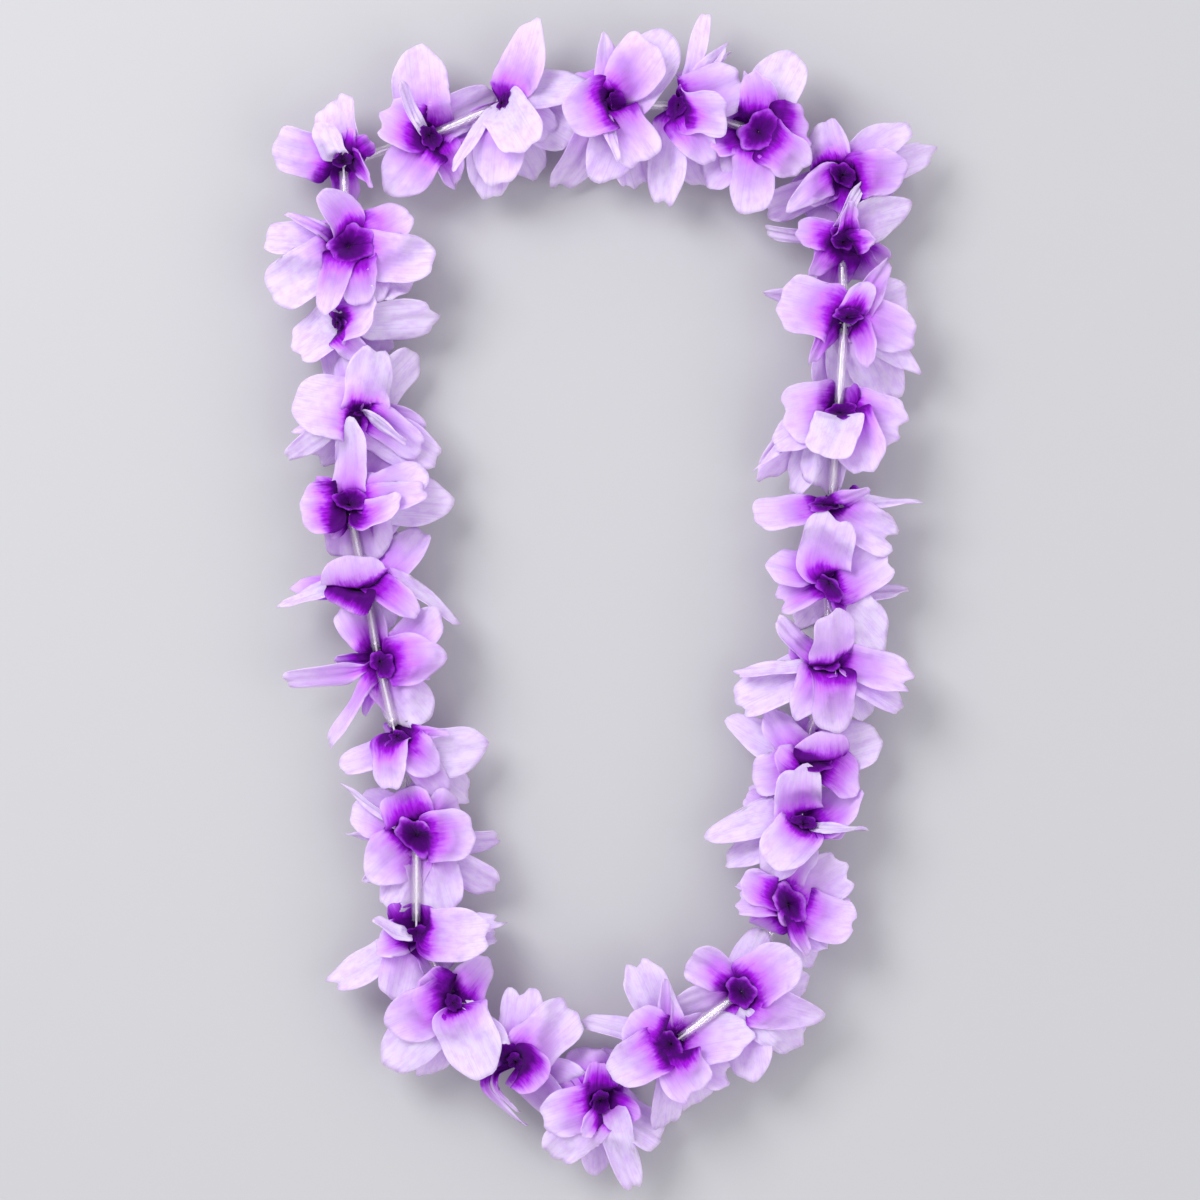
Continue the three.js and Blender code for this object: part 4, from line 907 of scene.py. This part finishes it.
def tubeMesh(name, path, radii, sides, material, closed=False):  # a skin swept along points, or several
    path = np.array(path)
    side, top = waysAcross(path, closed)
    angle = np.linspace(0, 2 * math.pi, sides, endpoint=False)[None, :, None]
    points = [path[:, None] + (side[:, None] * np.cos(angle) + top[:, None] * np.sin(angle)) * radius
              for radius in radii]
    rows = len(path)
    last = rows if closed else rows - 1
    loop = np.arange(rows * sides).reshape(rows, sides)
    faces = []
    for k in range(len(radii)):
        a, b = loop + k * rows * sides, np.roll(loop, -1, axis=1) + k * rows * sides
        quads = np.stack([a, b, np.roll(b, -1, axis=0), np.roll(a, -1, axis=0)], axis=-1)
        quads = quads[:last].reshape(-1, 4)
        faces.append(quads if k == 0 else quads[:, ::-1])
    if len(radii) == 2:
        for row, order in ((0, 1), (rows - 1, -1)):
            a, b = loop[row], np.roll(loop[row], -1)
            faces.append(np.stack([b, a, a + rows * sides, b + rows * sides], axis=-1)[:, ::order])
    mesh = bpy.data.meshes.new(name)
    points = np.concatenate(points).reshape(-1, 3) * mm
    mesh.from_pydata(points.tolist(), [], np.concatenate(faces).tolist())
    mesh.shade_smooth()
    mesh.materials.append(material)
    return newObject(name, mesh)


plastic = strawPlastic()
for i in strawSpans:
    a, b = hubs[i], hubs[(i + 1) % count]
    line = unit(b - a)
    start, end = a + line * lay["strawGap"], b - line * lay["strawGap"]
    path = [start * (1 - t) + end * t for t in np.linspace(0, 1, straw["rows"])]
    radii = (straw["radius"], straw["radius"] - straw["wall"])
    name = f"{i + 1:02d}"
    piece = tubeMesh("straw_" + name, path, radii, straw["sides"], plastic)
    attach(piece, "root")
    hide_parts("tube_" + name)
print("lei: the clear straws")

cord = {"radius": 0.45, "ply": 0.21, "plies": 3, "sides": 6, "lay": 2.6, "bend": 1.4, "step": 0.55,
        "fibreScale": 2500, "fibreDetail": 3, "fibreBump": 0.5, "fibreDepth": 0.1}
knot = {"radius": 1.3, "turns": 2.1, "start": 0.6, "low": 0.9, "points": 60,
        "from": 0.15, "outward": 1.3,  # mm along the cord
        "tight": 0.75, "wound": 0.8, "flare": 6}  # after the share "wound" an end leaves the knot


def cottonThread():
    cotton = Shader("cotton thread")
    fibre = cotton.noise(cotton.inPiece(), cord["fibreScale"], cord["fibreDetail"])
    normal = cotton.bump(fibre, cord["fibreBump"], cord["fibreDepth"] * mm)
    skin = cotton.node("ShaderNodeBsdfPrincipled", {}, {
        "Base Color": cotton.mix(fibre, paint(226, 218, 232), paint(250, 246, 252)),
        "Roughness": 0.7 + fibre * 0.2, "Normal": normal, "Sheen Weight": 0.3})
    return cotton.finish(skin)


def twisted(path, closed):  # the plies of a cord round its middle line
    path = np.array(path)
    side, top = waysAcross(path, closed)
    length = np.concatenate([[0], np.cumsum(np.linalg.norm(np.diff(path, axis=0), axis=1))])
    turns = round(length[-1] / cord["lay"])
    for k in range(cord["plies"]):
        angle = (2 * math.pi * (length / length[-1] * turns + k / cord["plies"]))[:, None]
        yield path + (side * np.cos(angle) + top * np.sin(angle)) * (cord["radius"] - cord["ply"])


def plied(name, path, closed):  # a piece of cord, as one mesh for each ply
    return [tubeMesh(f"{name}_{k}", ply, (cord["ply"],), cord["sides"], cotton, closed)
            for k, ply in enumerate(twisted(path, closed))]


cotton = cottonThread()
stations = []
for i in range(count):
    stations.append(hubs[i] - lineFrom(i - 1, i) * cord["bend"])
    stations.append(hubs[i] + lineFrom(i, i + 1) * cord["bend"])
path = []
for a, b in zip(stations, stations[1:] + stations[:1]):
    steps = max(2, int(np.linalg.norm(b - a) / cord["step"]))
    path += [a * (1 - t) + b * t for t in np.arange(steps) / steps]
strands = plied("ply", path, True)

first, second = straw["bareSpan"] - 1, straw["bareSpan"]
middle = (hubs[first] + hubs[second]) / 2
line = lineFrom(first, second)
beside = unit(np.cross(up, line))
for turn, sign in enumerate((-1, 1)):  # each end winds round the cord and then sticks out of the knot
    loop = []
    for t in np.linspace(0, 1, knot["points"]):
        angle = sign * (t * knot["turns"] * 2 * math.pi + knot["start"])
        radius = knot["radius"] * (knot["tight"] + max(0, t - knot["wound"]) * knot["flare"])
        out = beside * math.cos(angle) + up * math.sin(angle) * knot["low"]
        loop.append(middle + line * sign * (knot["from"] + t * knot["outward"]) + out * radius)
    strands += plied(f"end_{turn}", loop, False)
bpy.ops.object.select_all(action="DESELECT")
for strand in strands:
    strand.select_set(True)
bpy.context.view_layer.objects.active = strands[0]
bpy.ops.object.join()
twine = strands[0]
twine.name = "twine"
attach(twine, "root")
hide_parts("thread")
print("lei: the thread and its knot")

view = {"middle": (-0.2, 0.4, 20), "distance": 1800, "sensor": 36, "clip": 20000}
camera = bpy.data.cameras.new("camera")
camera.sensor_width = view["sensor"]
camera.lens = view["sensor"] * view["distance"] / (photo["width"] * photo["mmPerPixel"])
camera.clip_end = view["clip"] * mm
lens = newObject("camera", camera)
lens.location = (Vector(view["middle"]) + Vector((0, 0, view["distance"]))) * mm
bpy.context.scene.camera = lens

studio = {
    "key": {"at": (-900, 800, 1300), "size": 900, "power": 24},
    "fill": {"at": (900, -500, 1200), "size": 1400, "power": 7},
    "room": 0.82, "floor": paint(178, 178, 182), "floorHalf": 4000,
    "grainScale": 60, "grainDetail": 3, "grainBump": 0.05, "grainDepth": 0.5,
}
for name in ("key", "fill"):
    lamp = studio[name]
    light = bpy.data.lights.new(name, "AREA")
    light.energy = lamp["power"]
    light.size = lamp["size"] * mm
    stand = newObject(name, light)
    stand.location = Vector(lamp["at"]) * mm
    stand.rotation_euler = (-stand.location).to_track_quat("-Z", "Y").to_euler()
world = bpy.data.worlds.new("studio")
world.use_nodes = True
world.node_tree.nodes["Background"].inputs[0].default_value = (1, 1, 1, 1)
world.node_tree.nodes["Background"].inputs[1].default_value = studio["room"]
bpy.context.scene.world = world
bpy.context.scene.view_settings.view_transform = "Standard"

matte = Shader("floor")
grain = matte.noise(matte.inPiece(), studio["grainScale"], studio["grainDetail"])
floorSkin = matte.finish(matte.node("ShaderNodeBsdfPrincipled", {}, {
    "Base Color": studio["floor"], "Roughness": 0.85 + grain * 0.1,
    "Normal": matte.bump(grain, studio["grainBump"], studio["grainDepth"] * mm)}))
floorMesh = bpy.data.meshes.new("floor")
corners = [(east * studio["floorHalf"] * mm, north * studio["floorHalf"] * mm, 0)
           for east, north in ((-1, -1), (1, -1), (1, 1), (-1, 1))]
floorMesh.from_pydata(corners, [], [(0, 1, 2, 3)])
floorMesh.materials.append(floorSkin)
floor = newObject("floor", floorMesh)
print("lei: camera, lights and floor")
